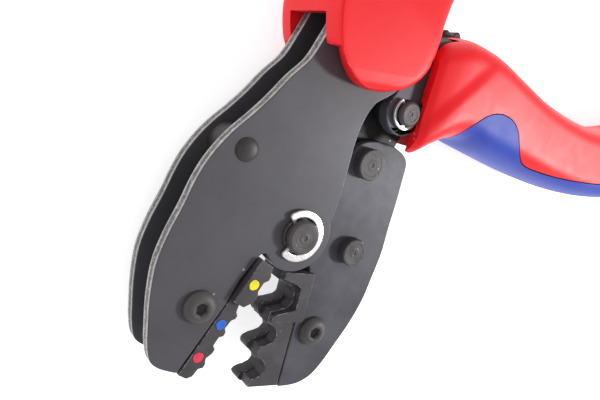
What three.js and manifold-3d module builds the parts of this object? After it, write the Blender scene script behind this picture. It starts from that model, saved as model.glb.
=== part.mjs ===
// Ratcheting crimping tool for insulated terminals: steel frame and moving jaw with exchangeable
// dies, a toggle-linked moving handle, and two soft-grip handles. Millimetres, +Z up.
// The tool lies flat: the side plates are parallel to XY and Z is the thickness direction.
// Outlines are written in the head's own axes (main pivot at 0,0), and the whole tool is turned
// and shifted at the end so that it lies on Z = 0, centred over the origin.
import * as THREE from "three";
import Module from "manifold-3d";

// ---- driving dimensions ------------------------------------------------------------------
const TURN_DEG = 21; // turns the fixed handle to lie along +Y
const FRAME_IN = 4.0; // inner and outer faces of the frame plates and handle cheeks
const FRAME_OUT = 7.0;
const JAW_IN = 1.6; // inner and outer faces of the jaw plates and toggle links
const JAW_OUT = 3.7;
const CORE = 1.3; // half thickness of the jaw core plate
const GAP = 0.3; // clearance between neighbouring pieces
const SHELL_IN = FRAME_OUT + GAP; // inner faces of the hand grips
const MAIN_PIN_R = 4.0;
const HINGE_PIN_R = 3.0; // jaw core to moving handle
const TOGGLE_PIN_R = 2.4;
const SCREW_R = 2.0; // M4 button-head die screws
const SCREW_HEAD_R = 3.8;
const PIN_CLEAR = 0.15;
const P_MAIN = [0, 0];
const P_HINGE = [25.2, 30.0]; // jaw core to moving handle
const P_TOGGLE = [29, 44.5]; // moving handle to toggle links
const P_ANCHOR = [10, 42]; // toggle links to frame
const P_RIVET_UP = [18.9, 16.7];
const P_RIVET_LOW = [18.2, -5.7];
const P_FRAME_RIVET = [-16.0, 19.1];
const P_SCREW_FIX = [-22.75, -15.25];
const P_SCREW_MOV = [10.5, -26.85];
const P_WHEEL = [41.5, 41.9]; // adjusting star wheel
const P_PAWL = [41, 28.6];
const P_LINK_CROSS = [20.5, 43]; // cross pin between the two links
const WHEEL_R = 9.9;
const GRIP_HALF = 12.2; // half thickness along the flat sides of both grips
const LINK_SLOT = 1.8; // extra radius of the links' hole at the frame anchor

const wasm = await Module();
wasm.setup();

// ---- materials ---------------------------------------------------------------------------
const mat = (color, roughness, metalness) =>
  new THREE.MeshStandardMaterial({ color, roughness, metalness });
const BLACK_STEEL = mat(0x38383c, 0.42, 0.55);
const DIE_STEEL = mat(0x2c2628, 0.55, 0.6);
const OXIDE = mat(0x3a3331, 0.38, 0.7);
const BRIGHT = mat(0xc9c9c9, 0.25, 1.0);
const RED = mat(0xd0181c, 0.45, 0.0);
const BLUE = mat(0x2b3fa0, 0.5, 0.0);
const PAINT_YELLOW = mat(0xe8d21c, 0.5, 0.0);
const PAINT_BLUE = mat(0x2e6cc0, 0.5, 0.0);
const PAINT_RED = mat(0xe03850, 0.5, 0.0);

// ---- shape helpers -----------------------------------------------------------------------
// Catmull-Rom curve through the points, sampled `per` times per span.
function smooth(points, per = 3) {
  const curve = new THREE.CatmullRomCurve3(
    points.map(([x, y]) => new THREE.Vector3(x, y, 0)),
    false,
    "centripetal",
  );
  return curve.getPoints((points.length - 1) * per).map((p) => [p.x, p.y]);
}

// Arc about a centre from one angle to another, in degrees.
function arc([cx, cy], r, from, to, n = 10) {
  return Array.from({ length: n + 1 }, (_, i) => {
    const a = THREE.MathUtils.degToRad(from + ((to - from) * i) / n);
    return [cx + r * Math.cos(a), cy + r * Math.sin(a)];
  });
}

const ring = (c, r, n = 24) => arc(c, r, 0, 360, n).slice(0, n);

// Flat plate: an outline with holes, between two heights.
function slab(points, z0, z1, holes = []) {
  const toPath = (list, Kind) => {
    const path = new Kind();
    list.forEach(([x, y], i) => (i ? path.lineTo(x, y) : path.moveTo(x, y)));
    path.closePath();
    return path;
  };
  const shape = toPath(points, THREE.Shape);
  shape.holes = holes.map((h) => toPath(h, THREE.Path));
  const g = new THREE.ExtrudeGeometry(shape, { depth: z1 - z0, bevelEnabled: false });
  return g.translate(0, 0, z0);
}

// Turned piece on a vertical axis, from [radius, height] pairs running bottom to top.
function turned(profile, [x, y], n = 24) {
  const g = new THREE.LatheGeometry(
    profile.map(([r, h]) => new THREE.Vector2(r, h)),
    n,
  );
  return g.rotateX(Math.PI / 2).translate(x, y, 0);
}

const rod = (r, z0, z1, c, n = 24) => turned([[0, z0], [r, z0], [r, z1], [0, z1]], c, n);

function toSolid(geometry) {
  const flat = geometry.index ? geometry.toNonIndexed() : geometry;
  const pos = flat.getAttribute("position").array;
  const ids = new Map();
  const verts = [];
  const tris = [];
  for (let i = 0; i < pos.length; i += 3) {
    const p = [pos[i], pos[i + 1], pos[i + 2]].map((v) => Math.round(v * 1e4) / 1e4 + 0);
    const key = p.join();
    if (!ids.has(key)) {
      ids.set(key, verts.length / 3);
      verts.push(...p);
    }
    tris.push(ids.get(key));
  }
  const kept = [];
  for (let i = 0; i < tris.length; i += 3) {
    const [a, b, c] = tris.slice(i, i + 3);
    if (a !== b && b !== c && a !== c) kept.push(a, b, c);
  }
  return new wasm.Manifold(
    new wasm.Mesh({
      numProp: 3,
      vertProperties: new Float32Array(verts),
      triVerts: new Uint32Array(kept),
    }),
  );
}

function toGeometry(solid) {
  const mesh = solid.getMesh();
  const g = new THREE.BufferGeometry();
  g.setAttribute("position", new THREE.BufferAttribute(mesh.vertProperties, 3));
  g.setIndex(new THREE.BufferAttribute(mesh.triVerts, 1));
  return g;
}

const minus = (a, ...cuts) =>
  toGeometry(cuts.reduce((s, c) => s.subtract(toSolid(c)), toSolid(a)));
const plus = (a, ...more) => toGeometry(more.reduce((s, c) => s.add(toSolid(c)), toSolid(a)));
const common = (a, b) => toGeometry(toSolid(a).intersect(toSolid(b)));

// Hand-grip body: one super-ellipse section per station, each spanning two edge points with a
// half thickness, closed at both ends.
function loft(stations, n = 24, power = 0.55) {
  const verts = [];
  const tris = [];
  for (const [[ax, ay], [bx, by], half = GRIP_HALF] of stations) {
    for (let j = 0; j < n; j++) {
      const a = (2 * Math.PI * (j + 0.5)) / n;
      const c = Math.sign(Math.cos(a)) * Math.abs(Math.cos(a)) ** power;
      const s = Math.sign(Math.sin(a)) * Math.abs(Math.sin(a)) ** power;
      verts.push((ax + bx) / 2 + ((bx - ax) / 2) * c, (ay + by) / 2 + ((by - ay) / 2) * c);
      verts.push(half * s);
    }
  }
  const last = stations.length - 1;
  for (let i = 0; i < last; i++)
    for (let j = 0; j < n; j++) {
      const k = (j + 1) % n;
      const [p, q, r, s] = [i * n + j, i * n + k, (i + 1) * n + j, (i + 1) * n + k];
      tris.push(p, q, s, p, s, r);
    }
  for (const [i, turn] of [[0, false], [last, true]]) {
    const [a, b] = stations[i];
    const centre = verts.length / 3;
    verts.push((a[0] + b[0]) / 2, (a[1] + b[1]) / 2, 0);
    for (let j = 0; j < n; j++) {
      const [p, q] = [i * n + j, i * n + ((j + 1) % n)];
      tris.push(centre, ...(turn ? [p, q] : [q, p]));
    }
  }
  const g = new THREE.BufferGeometry();
  g.setAttribute("position", new THREE.BufferAttribute(new Float32Array(verts), 3));
  g.setIndex(tris);
  if (toSolid(g).volume() < 0) g.setIndex(tris.reverse());
  return g;
}

const group = new THREE.Group();
function add(name, geometry, material) {
  const mesh = new THREE.Mesh(geometry, material);
  mesh.name = name;
  group.add(mesh);
}

// A pair of equal plates, near (+Z) and far (-Z).
function pair(name, points, z0, z1, holes, material) {
  add(name + "_near", slab(points, z0, z1, holes), material);
  add(name + "_far", slab(points, -z1, -z0, holes), material);
}

// ---- frame plates ------------------------------------------------------------------------
const backEdge = [
  [24, 112], [17, 92], [11, 74], [5, 57], [2.2, 50.5], [-1.1, 43.7], [-3.7, 39.1], [-7.8, 35.0],
  [-11.6, 30.6], [-15.5, 26.6], [-19.3, 23.1], [-22.3, 19.7], [-24.9, 15.9], [-26.8, 12.0],
  [-28.6, 7.3], [-31.4, 0.7], [-33.1, -4.9], [-33.7, -11.5], [-33.6, -17.8], [-33.2, -23.4],
  [-32.3, -26.9], [-30.4, -28.7], [-26.2, -30.6],
];
const dieSeat = [[-16.3, -15.3], [-13.5, -9.7], [-9.2, -4.2]];
const rightEdge = [
  [8.5, 3.2], [9.3, 5.2], [10.1, 9.0], [11.0, 15.1], [12.0, 22.6], [13.4, 27.4], [15.8, 31.3],
  [19.1, 33.2], [21.5, 34.9], [22.8, 38], [23.2, 44], [24, 50], [25.5, 57], [30, 75], [36, 95],
  [41, 112], [43, 119], [38, 124], [30, 125], [26, 120],
];
const frameOutline = [
  ...smooth(backEdge, 2),
  ...dieSeat,
  ...arc(P_MAIN, 8.9, 207, 382, 16),
  ...smooth(rightEdge, 2),
];
const P_TANG = [[20, 62], [33, 100]];
const frameHoles = [
  ring(P_MAIN, MAIN_PIN_R + PIN_CLEAR),
  ring(P_ANCHOR, TOGGLE_PIN_R + PIN_CLEAR),
  ring(P_SCREW_FIX, SCREW_R + PIN_CLEAR, 20),
  ring(P_FRAME_RIVET, 2.0 + PIN_CLEAR, 20),
  ...P_TANG.map((c) => ring(c, 2.0 + PIN_CLEAR, 20)),
];
pair("frame_plate", frameOutline, FRAME_IN, FRAME_OUT, frameHoles, BLACK_STEEL);

// Spacer tube and headed rivets that hold the two frame plates apart.
const tube = (r, bore, z, c) => slab(ring(c, r), -z, z, [ring(c, bore)]);
add("frame_spacer", tube(4.2, 2.3, FRAME_IN - 0.02, P_FRAME_RIVET), OXIDE);
const domed = (r, head, dome, half, c) =>
  turned(
    [
      [0, -half - dome], [head * 0.7, -half - dome * 0.75], [head, -half - 0.15], [head, -half],
      [r, -half], [r, half], [head, half], [head, half + 0.15], [head * 0.7, half + dome * 0.75],
      [0, half + dome],
    ],
    c,
  );
add("frame_rivet", domed(2.0, 2.6, 0.8, FRAME_OUT, P_FRAME_RIVET), OXIDE);
P_TANG.forEach((c, i) =>
  add("tang_rivet_" + (i + 1), rod(2.0, -FRAME_OUT, FRAME_OUT, c, 20), OXIDE),
);
add("toggle_anchor_pin", rod(TOGGLE_PIN_R, -FRAME_OUT, FRAME_OUT, P_ANCHOR), OXIDE);

// ---- pivots ------------------------------------------------------------------------------
// Grooved pin end: the clip sits in a neck just outside the outer plate.
function grooved(r, end, neck) {
  const z = FRAME_OUT + 0.25;
  return [
    [0, -end], [r - 0.5, -end], [r, -end + 0.5], [r, -z - 0.9], [neck, -z - 0.9], [neck, -z],
    [r, -z], [r, z], [neck, z], [neck, z + 0.9], [r, z + 0.9], [r, end - 0.5], [r - 0.5, end],
    [0, end],
  ];
}
// Open retaining ring with a mouth centred on the given direction.
const ringClip = (c, outer, neck, mouth, z0, z1) =>
  slab(
    [...arc(c, outer, mouth + 32, mouth + 328, 26), ...arc(c, neck, mouth + 322, mouth + 38, 22)],
    z0,
    z1,
  );
const clipZ = [FRAME_OUT + 0.3, FRAME_OUT + 1.1];
add("main_pivot_pin", turned(grooved(MAIN_PIN_R, 9.7, 3.0), P_MAIN), OXIDE);
add("main_clip_near", ringClip(P_MAIN, 6.2, 3.3, 190, clipZ[0], clipZ[1]), BRIGHT);
add("main_clip_far", ringClip(P_MAIN, 6.2, 3.3, 190, -clipZ[1], -clipZ[0]), BRIGHT);
add("hinge_pin", turned(grooved(HINGE_PIN_R, 9.5, 2.2), P_HINGE), OXIDE);
add("hinge_clip_near", ringClip(P_HINGE, 4.6, 2.5, 75, clipZ[0], clipZ[1]), BRIGHT);
add("hinge_clip_far", ringClip(P_HINGE, 4.6, 2.5, 75, -clipZ[1], -clipZ[0]), BRIGHT);

// ---- moving jaw --------------------------------------------------------------------------
const jawOutline = [
  ...smooth([
    [12.2, 15.5], [14.8, 19.8], [16.6, 21.5], [20.4, 22.2], [26.2, 21.4], [31.0, 18.9],
    [32.2, 16.9], [31.9, 12.5], [31.4, 7.7], [30.2, -0.5], [29.4, -7.1], [27.7, -13.5],
    [25.8, -19.9], [22.8, -26.1], [18.9, -32.1], [15.2, -37.4], [12.3, -40.2], [9.1, -41.5],
    [5.9, -41.7], [2.9, -41.4],
  ], 2).reverse(),
];
const jawInner = [[12.2, 15.5], ...arc(P_MAIN, 8.6, 60, 305, 18), [7.0, -10.0]];
const jawHoles = [
  ring(P_MAIN, MAIN_PIN_R + PIN_CLEAR),
  ring(P_RIVET_UP, 3.0 + PIN_CLEAR),
  ring(P_RIVET_LOW, 2.6 + PIN_CLEAR),
  ring(P_SCREW_MOV, SCREW_R + PIN_CLEAR, 20),
];
pair(
  "jaw_plate",
  [...jawOutline, ...jawInner.slice(1)],
  JAW_IN,
  JAW_OUT,
  jawHoles,
  BLACK_STEEL,
);

// Core plate between the jaw plates: carries the hinge to the handle and the ratchet teeth.
const polar = ([x, y], r, deg) => {
  const a = THREE.MathUtils.degToRad(deg);
  return [x + r * Math.cos(a), y + r * Math.sin(a)];
};
const teeth = Array.from({ length: 13 }, (_, i) => {
  const a = 82 - i * 7.5;
  return [polar(P_HINGE, 8.6, a), polar(P_HINGE, 7.5, a - 1.2)];
}).flat();
const coreOutline = [
  ...smooth([[28.6, 19.5], [27.6, 8], [26.0, -3], [23.4, -11], [17, -12.4], [9.5, -10.2]], 2),
  ...arc(P_MAIN, 7.6, 285, 100, 14),
  ...smooth([[5.5, 8.9], [10.5, 14], [14.4, 21], [17.6, 26.5], [19.2, 31.5], [21.4, 35.6]], 2),
  ...teeth,
  [31.2, 24.8],
];
add(
  "jaw_core",
  slab(coreOutline, -CORE, CORE, [
    ring(P_MAIN, MAIN_PIN_R + PIN_CLEAR),
    ring(P_RIVET_UP, 3.0 + PIN_CLEAR),
    ring(P_RIVET_LOW, 2.6 + PIN_CLEAR),
    ring(P_HINGE, HINGE_PIN_R + PIN_CLEAR),
  ]),
  BLACK_STEEL,
);
const stepped = (r, head, z, end) => [
  [0, -end], [head - 0.3, -end], [head, -end + 0.3], [head, -z], [r, -z], [r, z], [head, z],
  [head, end - 0.3], [head - 0.3, end], [0, end],
];
add("jaw_rivet_upper", turned(stepped(3.0, 3.9, JAW_OUT, 6.2), P_RIVET_UP), OXIDE);
add("jaw_rivet_lower", turned(stepped(2.6, 3.55, JAW_OUT, 6.2), P_RIVET_LOW), OXIDE);

// ---- dies --------------------------------------------------------------------------------
// Die outlines are given along the die (s, away from the pivot) and across it (t, towards the
// mouth) and placed with the die's own directions.
const along = (deg, side) => {
  const a = THREE.MathUtils.degToRad(deg);
  const u = [Math.cos(a), Math.sin(a)];
  const n = side > 0 ? [-u[1], u[0]] : [u[1], -u[0]];
  return ([s, t]) => [s * u[0] + t * n[0], s * u[1] + t * n[1]];
};
const onFixed = along(238.3, 1);
const onMoving = along(262.5, -1);
const FIX_BACK = -5.5; // plate edge line of the frame
const MOV_BACK = -7.9; // plate edge line of the jaw
const fixedNests = [
  [20.6, -2.6], [22.0, -2.2], [22.7, -1.3], [23.5, -1.3], [24.3, -2.0], [26.4, -2.2],
  [27.2, -1.4], [28.1, -1.4], [28.8, -2.2], [30.9, -2.2], [31.6, -1.2], [32.6, -1.2],
  [34.2, -1.9], [35.5, -1.1], [36.3, -1.1], [37.0, -2.0], [39.0, -2.2], [40.0, -3.2],
  [40.0, FIX_BACK],
].map(onFixed);
const fixedBlock = [
  [9.2, FIX_BACK], [9.2, -1.9], [10.6, -1.5], [11.2, -0.9], [12.3, -0.8], [13.3, -1.6],
  [15.4, -1.6], [16.4, -1.0], [17.6, -0.9], [18.6, -1.2], [20.2, -2.5], [20.2, FIX_BACK],
].map(onFixed);
const tongue = [[12, -3], [12, -13], [19, -17.5], [31, -17.5], [38.5, -11], [38.5, -3]].map(onFixed);
add(
  "fixed_die",
  minus(
    plus(
      slab([[20.0, FIX_BACK], ...[[20.0, -2.6]]].map(onFixed).concat(fixedNests), -FRAME_OUT, FRAME_OUT),
      slab(fixedBlock, -8.6, 8.6),
      slab(tongue, -JAW_OUT, JAW_OUT),
    ),
    rod(SCREW_R + PIN_CLEAR, -12, 12, P_SCREW_FIX, 20),
  ),
  DIE_STEEL,
);
// Moving die: three deep nests, longer fingers on the far half.
const nest = (s0, s1, depth, lip) => [
  [s0, lip], [s0 + 0.7, -depth * 0.45], [s0 + 1.9, -depth * 0.85], [s0 + 3.2, -depth],
  [s1 - 2.2, -depth], [s1 - 1.0, -depth * 0.8], [s1 - 0.2, -depth * 0.3], [s1, lip],
];
const movingNear = [
  [9.8, MOV_BACK], [9.8, -0.6], [11.9, -0.4], ...nest(12.2, 20.3, 5.6, -0.3), [22.6, 0.0],
  ...nest(23.2, 29.6, 3.8, 0.1), [31.6, 0.5], ...nest(32.2, 38.2, 3.0, 0.6), [40.3, 0.7],
  [40.3, MOV_BACK],
].map(onMoving);
const finger = (s0, s1, tip) => [
  [s0, tip - 1.3], [s0 + 0.5, tip - 0.4], [s0 + 1.2, tip], [s1 - 1.2, tip], [s1 - 0.5, tip - 0.4],
  [s1, tip - 1.3],
];
const movingFar = [
  [9.8, MOV_BACK], [9.8, -0.6], [11.9, -0.4], ...nest(12.2, 19.4, 5.6, -0.3), ...finger(19.6, 22.8, 1.2),
  ...nest(23.3, 28.9, 3.8, -0.3), ...finger(29.2, 32.2, 1.6), ...nest(32.6, 37.9, 3.0, 0.0),
  ...finger(38.1, 40.6, 1.9), [40.6, MOV_BACK],
].map(onMoving);
const upperFace = (back) =>
  [
    [9.8, back], [9.8, -0.7], [11.6, -0.7], [12.6, -4], [13.6, -6.3], [19.4, -6.3], [20.2, -3],
    [20.9, -0.4], [22.6, -0.2], [22.4, back],
  ].map(onMoving);
const upperRoot = upperFace(MOV_BACK);
const upperBlock = upperFace(MOV_BACK - 1.4);
const movTongue = [[13, -6.5], [13, -9.5], [19, -15.5], [32, -15.5], [38.5, -11], [38.5, -6]].map(onMoving);
const DIE_FACE = JAW_OUT;
add(
  "moving_die",
  minus(
    plus(
      slab(movingNear, 0, DIE_FACE),
      slab(movingFar, -DIE_FACE, 0.01),
      slab(upperRoot, JAW_OUT - 0.01, 4.1),
      slab(upperRoot, -4.1, -JAW_OUT + 0.01),
      slab(upperBlock, 4.0, 5.2),
      slab(upperBlock, -5.2, -4.0),
      slab(movTongue, -CORE, CORE),
    ),
    rod(SCREW_R + PIN_CLEAR, -12, 12, P_SCREW_MOV, 20),
  ),
  DIE_STEEL,
);

// Button-head socket screw: domed head with a hexagon socket, plain shank to the far plate.
function buttonScrew(c, face, back) {
  const head = turned(
    [
      [0, back], [SCREW_R, back], [SCREW_R, face], [SCREW_HEAD_R, face], [SCREW_HEAD_R, face + 0.35],
      [3.5, face + 1.1], [2.8, face + 1.75], [2.1, face + 2.1], [0, face + 2.1],
    ],
    c,
  );
  return minus(head, slab(ring(c, 1.45, 6), face + 0.7, face + 3));
}
add("fixed_die_screw", buttonScrew(P_SCREW_FIX, FRAME_OUT, -FRAME_OUT), OXIDE);
add("moving_die_screw", buttonScrew(P_SCREW_MOV, JAW_OUT, -JAW_OUT), OXIDE);

// Colour dots painted on the fixed die, one per nest.
const dot = (st, z) => {
  const c = onFixed(st);
  return slab(ring(c, 1.25, 20), z, z + 0.15);
};
add("dot_yellow", dot([14.8, -3.6], 8.6), PAINT_YELLOW);
add("dot_blue", dot([26.1, -3.8], FRAME_OUT), PAINT_BLUE);
add("dot_red", dot([34.7, -3.9], FRAME_OUT), PAINT_RED);

// ---- moving handle -----------------------------------------------------------------------
const cheekOutline = [
  ...arc(P_HINGE, 5.6, 165, 292, 10),
  ...smooth([[31, 25.2], [37, 26.2], [45, 27.2], [60, 23.4], [75, 20.2], [100, 16.4]], 2),
  [102, 21.5],
  ...smooth([[100, 27], [75, 33], [60, 38], [50, 43], [43, 46.3], [38, 48.0], [35.2, 48.8]], 2),
  ...smooth([[33.4, 48.9], [31.0, 48.9], [27.6, 48.3], [25.4, 45.6], [24.7, 42]], 2),
  [22.6, 36.5],
];
const P_HANDLE_RIVET = [[58, 31.5], [88, 23.5]];
const cheekHoles = [
  ring(P_HINGE, HINGE_PIN_R + PIN_CLEAR),
  ring(P_TOGGLE, TOGGLE_PIN_R + PIN_CLEAR),
  ring(P_WHEEL, 2.0 + PIN_CLEAR, 20),
  ring(P_PAWL, 1.5 + PIN_CLEAR, 16),
  ...P_HANDLE_RIVET.map((c) => ring(c, 2.0 + PIN_CLEAR, 20)),
];
pair("handle_cheek", cheekOutline, FRAME_IN, FRAME_OUT, cheekHoles, BLACK_STEEL);
P_HANDLE_RIVET.forEach((c, i) =>
  add("handle_rivet_" + (i + 1), rod(2.0, -FRAME_OUT, FRAME_OUT, c, 20), OXIDE),
);
add("toggle_pin", rod(TOGGLE_PIN_R, -FRAME_OUT, FRAME_OUT, P_TOGGLE), OXIDE);
add("wheel_pin", rod(2.0, -FRAME_OUT, FRAME_OUT, P_WHEEL, 20), OXIDE);
add("pawl_pin", rod(1.5, -FRAME_OUT, FRAME_OUT, P_PAWL, 16), OXIDE);
const washer = (z0, z1) =>
  slab(ring(P_HINGE, 5.0), z0, z1, [ring(P_HINGE, HINGE_PIN_R + PIN_CLEAR)]);
add("hinge_washer_near", washer(JAW_IN, JAW_OUT), BLACK_STEEL);
add("hinge_washer_far", washer(-JAW_OUT, -JAW_IN), BLACK_STEEL);

// Toggle links: a round end on the handle's toggle pin, and a wide eye around the frame's anchor
// pin whose hole is open enough to take up the fixed drive ratio.
const linkOutline = [
  ...arc(P_TOGGLE, 4.4, -78, 82, 10),
  ...arc(P_ANCHOR, 6.4, 92, 262, 12),
];
pair(
  "toggle_link",
  linkOutline,
  JAW_IN,
  JAW_OUT,
  [
    ring(P_TOGGLE, TOGGLE_PIN_R + PIN_CLEAR),
    ring(P_ANCHOR, TOGGLE_PIN_R + LINK_SLOT),
    ring(P_LINK_CROSS, 1.2 + PIN_CLEAR, 16),
  ],
  BLACK_STEEL,
);

// Adjusting star wheel with a scalloped rim, between the cheeks.
const wheelRim = Array.from({ length: 84 }, (_, i) => {
  const a = (2 * Math.PI * i) / 84;
  const r = WHEEL_R - 0.55 + 0.55 * Math.cos(14 * a);
  return [P_WHEEL[0] + r * Math.cos(a), P_WHEEL[1] + r * Math.sin(a)];
});
add("star_wheel", slab(wheelRim, -1.6, 1.6, [ring(P_WHEEL, 2.0 + PIN_CLEAR, 20)]), OXIDE);

// Pawl that rides the core's ratchet teeth, and its coil spring.
const pawlOutline = [
  [34.4, 30.6], [34.5, 29.2], [37.5, 27.2], ...arc(P_PAWL, 2.6, -90, 90, 8), [38, 31.0],
];
add("pawl", slab(pawlOutline, -CORE, CORE, [ring(P_PAWL, 1.5 + PIN_CLEAR, 16)]), DIE_STEEL);
class Coil extends THREE.Curve {
  constructor(from, to, radius, turns) {
    super();
    Object.assign(this, { from, to, radius, turns });
  }
  getPoint(t, target = new THREE.Vector3()) {
    const [dx, dy] = [this.to[0] - this.from[0], this.to[1] - this.from[1]];
    const len = Math.hypot(dx, dy);
    const a = 2 * Math.PI * this.turns * t;
    const side = this.radius * Math.cos(a);
    return target.set(
      this.from[0] + dx * t - (dy / len) * side,
      this.from[1] + dy * t + (dx / len) * side,
      this.radius * Math.sin(a),
    );
  }
}
function spring(name, from, to, radius, turns, wireR) {
  const wire = new THREE.Shape();
  wire.absarc(0, 0, wireR, 0, 2 * Math.PI, false);
  const options = { steps: turns * 9, curveSegments: 3, bevelEnabled: false };
  options.extrudePath = new Coil(from, to, radius, turns);
  add(name, new THREE.ExtrudeGeometry(wire, options), BRIGHT);
}
spring("pawl_spring", [44.6, 28.4], [52.6, 26.8], 1.15, 5, 0.3);

// Return spring that pulls the links back: from the frame's upper rivet to a cross pin in the links.
add("link_cross_pin", rod(1.2, -JAW_OUT, JAW_OUT, P_LINK_CROSS, 16), OXIDE);
spring("return_spring", [20.0, 59.6], [20.0, 50.4], 2.1, 7, 0.42);

// ---- hand grips --------------------------------------------------------------------------
const fixedStations = [
  [[12.8, 34.3], [15.8, 34.3], 9.2], [[10.2, 34.9], [18.9, 34.8], 10.6],
  [[8.0, 35.9], [21.9, 35.7], 11.5], [[6.2, 37.4], [24.5, 37.2], 11.9],
  [[4.5, 39.6], [26.9, 39.4], 12.1], [[3.2, 42.2], [28.3, 42.0]], [[-1.0, 42.8], [28.7, 43.0]],
  [[-1.7, 47.2], [29.8, 47.2]], [[-2.0, 51.4], [30.4, 50.6]], [[-1.2, 58.6], [32.4, 57.0]],
  [[3.6, 70.5], [35.2, 66.8]], [[9.4, 82.0], [38.8, 78.2]], [[15.0, 94.2], [42.8, 91.2]],
  [[20.4, 108.0], [47.2, 104.5]],
  [[25.6, 122.0], [52.0, 118.0]], [[30.4, 136.0], [56.4, 132.0]], [[34.4, 150.0], [60.0, 146.0]],
  [[37.4, 162.0], [62.6, 158.0], 12.0], [[40.0, 171.0], [62.8, 167.5], 11.2],
  [[43.4, 176.6], [60.6, 174.2], 9.2], [[47.4, 179.4], [57.0, 178.2], 6.0],
];
const movingStations = [
  [[26.9, 19.4], [31.6, 46.4], 10.2], [[28.9, 19.4], [33.5, 48.3], 11.1],
  [[33.5, 21.8], [38.2, 49.5], 11.9], [[39.7, 24.0], [43.1, 50.0]],
  [[45.8, 24.0], [48.2, 49.1]], [[52.0, 21.9], [54.0, 47.4]],
  [[62.7, 18.8], [63.9, 43.3]], [[73.8, 15.7], [74.8, 38.9]],
  [[85.9, 12.7], [86.5, 35.4]], [[98.0, 10.2], [98.1, 32.9]],
  [[111.0, 8.8], [110.5, 31.6]], [[124.0, 8.6], [122.8, 31.8]],
  [[137.0, 9.6], [134.8, 33.4]], [[150.0, 11.8], [146.4, 36.4], 12.1],
  [[160.0, 15.2], [154.8, 38.6], 11.3], [[166.0, 19.4], [161.0, 38.4], 9.4],
  [[169.0, 24.2], [166.0, 35.4], 6.0],
];
const fixedBody = loft(fixedStations, 28, 0.42);
const movingBody = loft(movingStations);
const cut = (points, z) => slab(points, -z, z);
const fixedPocket = cut(
  [
    [-30, 20], [45, 20], [45, 49.4], [24.6, 49.4], [26.2, 57], [30.7, 75], [36.7, 95], [41.8, 112],
    [44, 119.6], [38.3, 124.9], [29.6, 125.9], [25.2, 120.4], [23.2, 112], [16.2, 92], [10.2, 74],
    [4.2, 57], [1.6, 49.2], [-30, 49.2],
  ],
  SHELL_IN,
);
const movingPocket = cut(
  [
    [0, 0], [32.6, 0], [32.6, 24.2], [45, 26.2], [60, 22.4], [75, 19.2], [100.4, 15.4], [103, 21.5],
    [100.6, 28], [75, 34], [60, 39.1], [50, 44.1], [43, 47.5], [36.6, 49.6], [36.6, 60], [0, 60],
  ],
  SHELL_IN,
);
// Inlay areas: a waved band along the palm side of each grip.
const waved = (points) => smooth(points, 3);
const movingBand = [
  ...waved([
    [39.5, 19], [40.8, 23.2], [42.1, 26.0], [43.8, 28.2], [46, 29.9], [48.9, 31.6], [52.6, 32.6],
    [56.7, 32.3], [60.2, 30.8], [62.6, 28.3], [64.2, 25.2], [66.4, 22.0], [70, 19.4], [78, 17.4],
    [92, 15.6], [112, 14.6], [132, 15.4], [148, 19.0], [156, 16], [160, 10],
  ]),
  [150, -5], [80, -5],
];
const fixedBand = [
  ...waved([
    [-6, 58], [4.0, 62], [9.5, 67], [14.5, 74], [18.4, 82], [19.6, 89], [19.4, 95], [21.0, 101],
    [26, 113], [33, 132], [38.6, 149], [40.0, 160], [36, 164],
  ]),
  [20, 160], [-6, 100],
];
const widen = (points, d) =>
  points.map(([x, y], i) => {
    const a = points[(i + points.length - 1) % points.length];
    const b = points[(i + 1) % points.length];
    const [tx, ty] = [b[0] - a[0], b[1] - a[1]];
    const len = Math.hypot(tx, ty) || 1;
    return [x + (d * ty) / len, y - (d * tx) / len];
  });
const clockwise = (points) =>
  points.reduce((a, p, i) => {
    const q = points[(i + 1) % points.length];
    return a + p[0] * q[1] - q[0] * p[1];
  }, 0) < 0;
const grown = (points, d) => widen(points, clockwise(points) ? -d : d);
const CLIP_ROOM = rod(5.2, -8.4, 8.4, P_HINGE);
const PIN_ROOM = rod(3.5, -14, 14, P_HINGE);
const WHEEL_ROOM = rod(WHEEL_R + 0.6, -2.1, 2.1, P_WHEEL, 40);
const fixedHollow = minus(fixedBody, fixedPocket);
const movingHollow = minus(movingBody, movingPocket, CLIP_ROOM, PIN_ROOM, WHEEL_ROOM);
add("fixed_grip", minus(fixedHollow, cut(grown(fixedBand, GAP), 20)), RED);
add("fixed_grip_inlay", common(fixedHollow, cut(fixedBand, 20)), BLUE);
add("moving_grip", minus(movingHollow, cut(grown(movingBand, GAP), 20)), RED);
add("moving_grip_inlay", common(movingHollow, cut(movingBand, 20)), BLUE);

// ---- placing -----------------------------------------------------------------------------
group.rotation.z = THREE.MathUtils.degToRad(TURN_DEG);
group.updateMatrixWorld(true);
const box = new THREE.Box3().setFromObject(group, true);
group.position.set(-(box.min.x + box.max.x) / 2, -(box.min.y + box.max.y) / 2, -box.min.z);

export default group;
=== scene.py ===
"""Looks of a ratcheting crimping tool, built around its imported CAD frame.

Shapes are written in millimetres in the head's own axes: the main pivot's axis at 0,0, X towards the
moving handle's side, Y up the fixed handle, and Z measured from the tool's mid-plane. The function
`placed` turns and shifts them into the frame's metres, using the main pivot pin's box.
"""

import math

import bpy
import numpy as np
from mathutils import Matrix, Vector
from mathutils.geometry import delaunay_2d_cdt, tessellate_polygon


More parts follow.
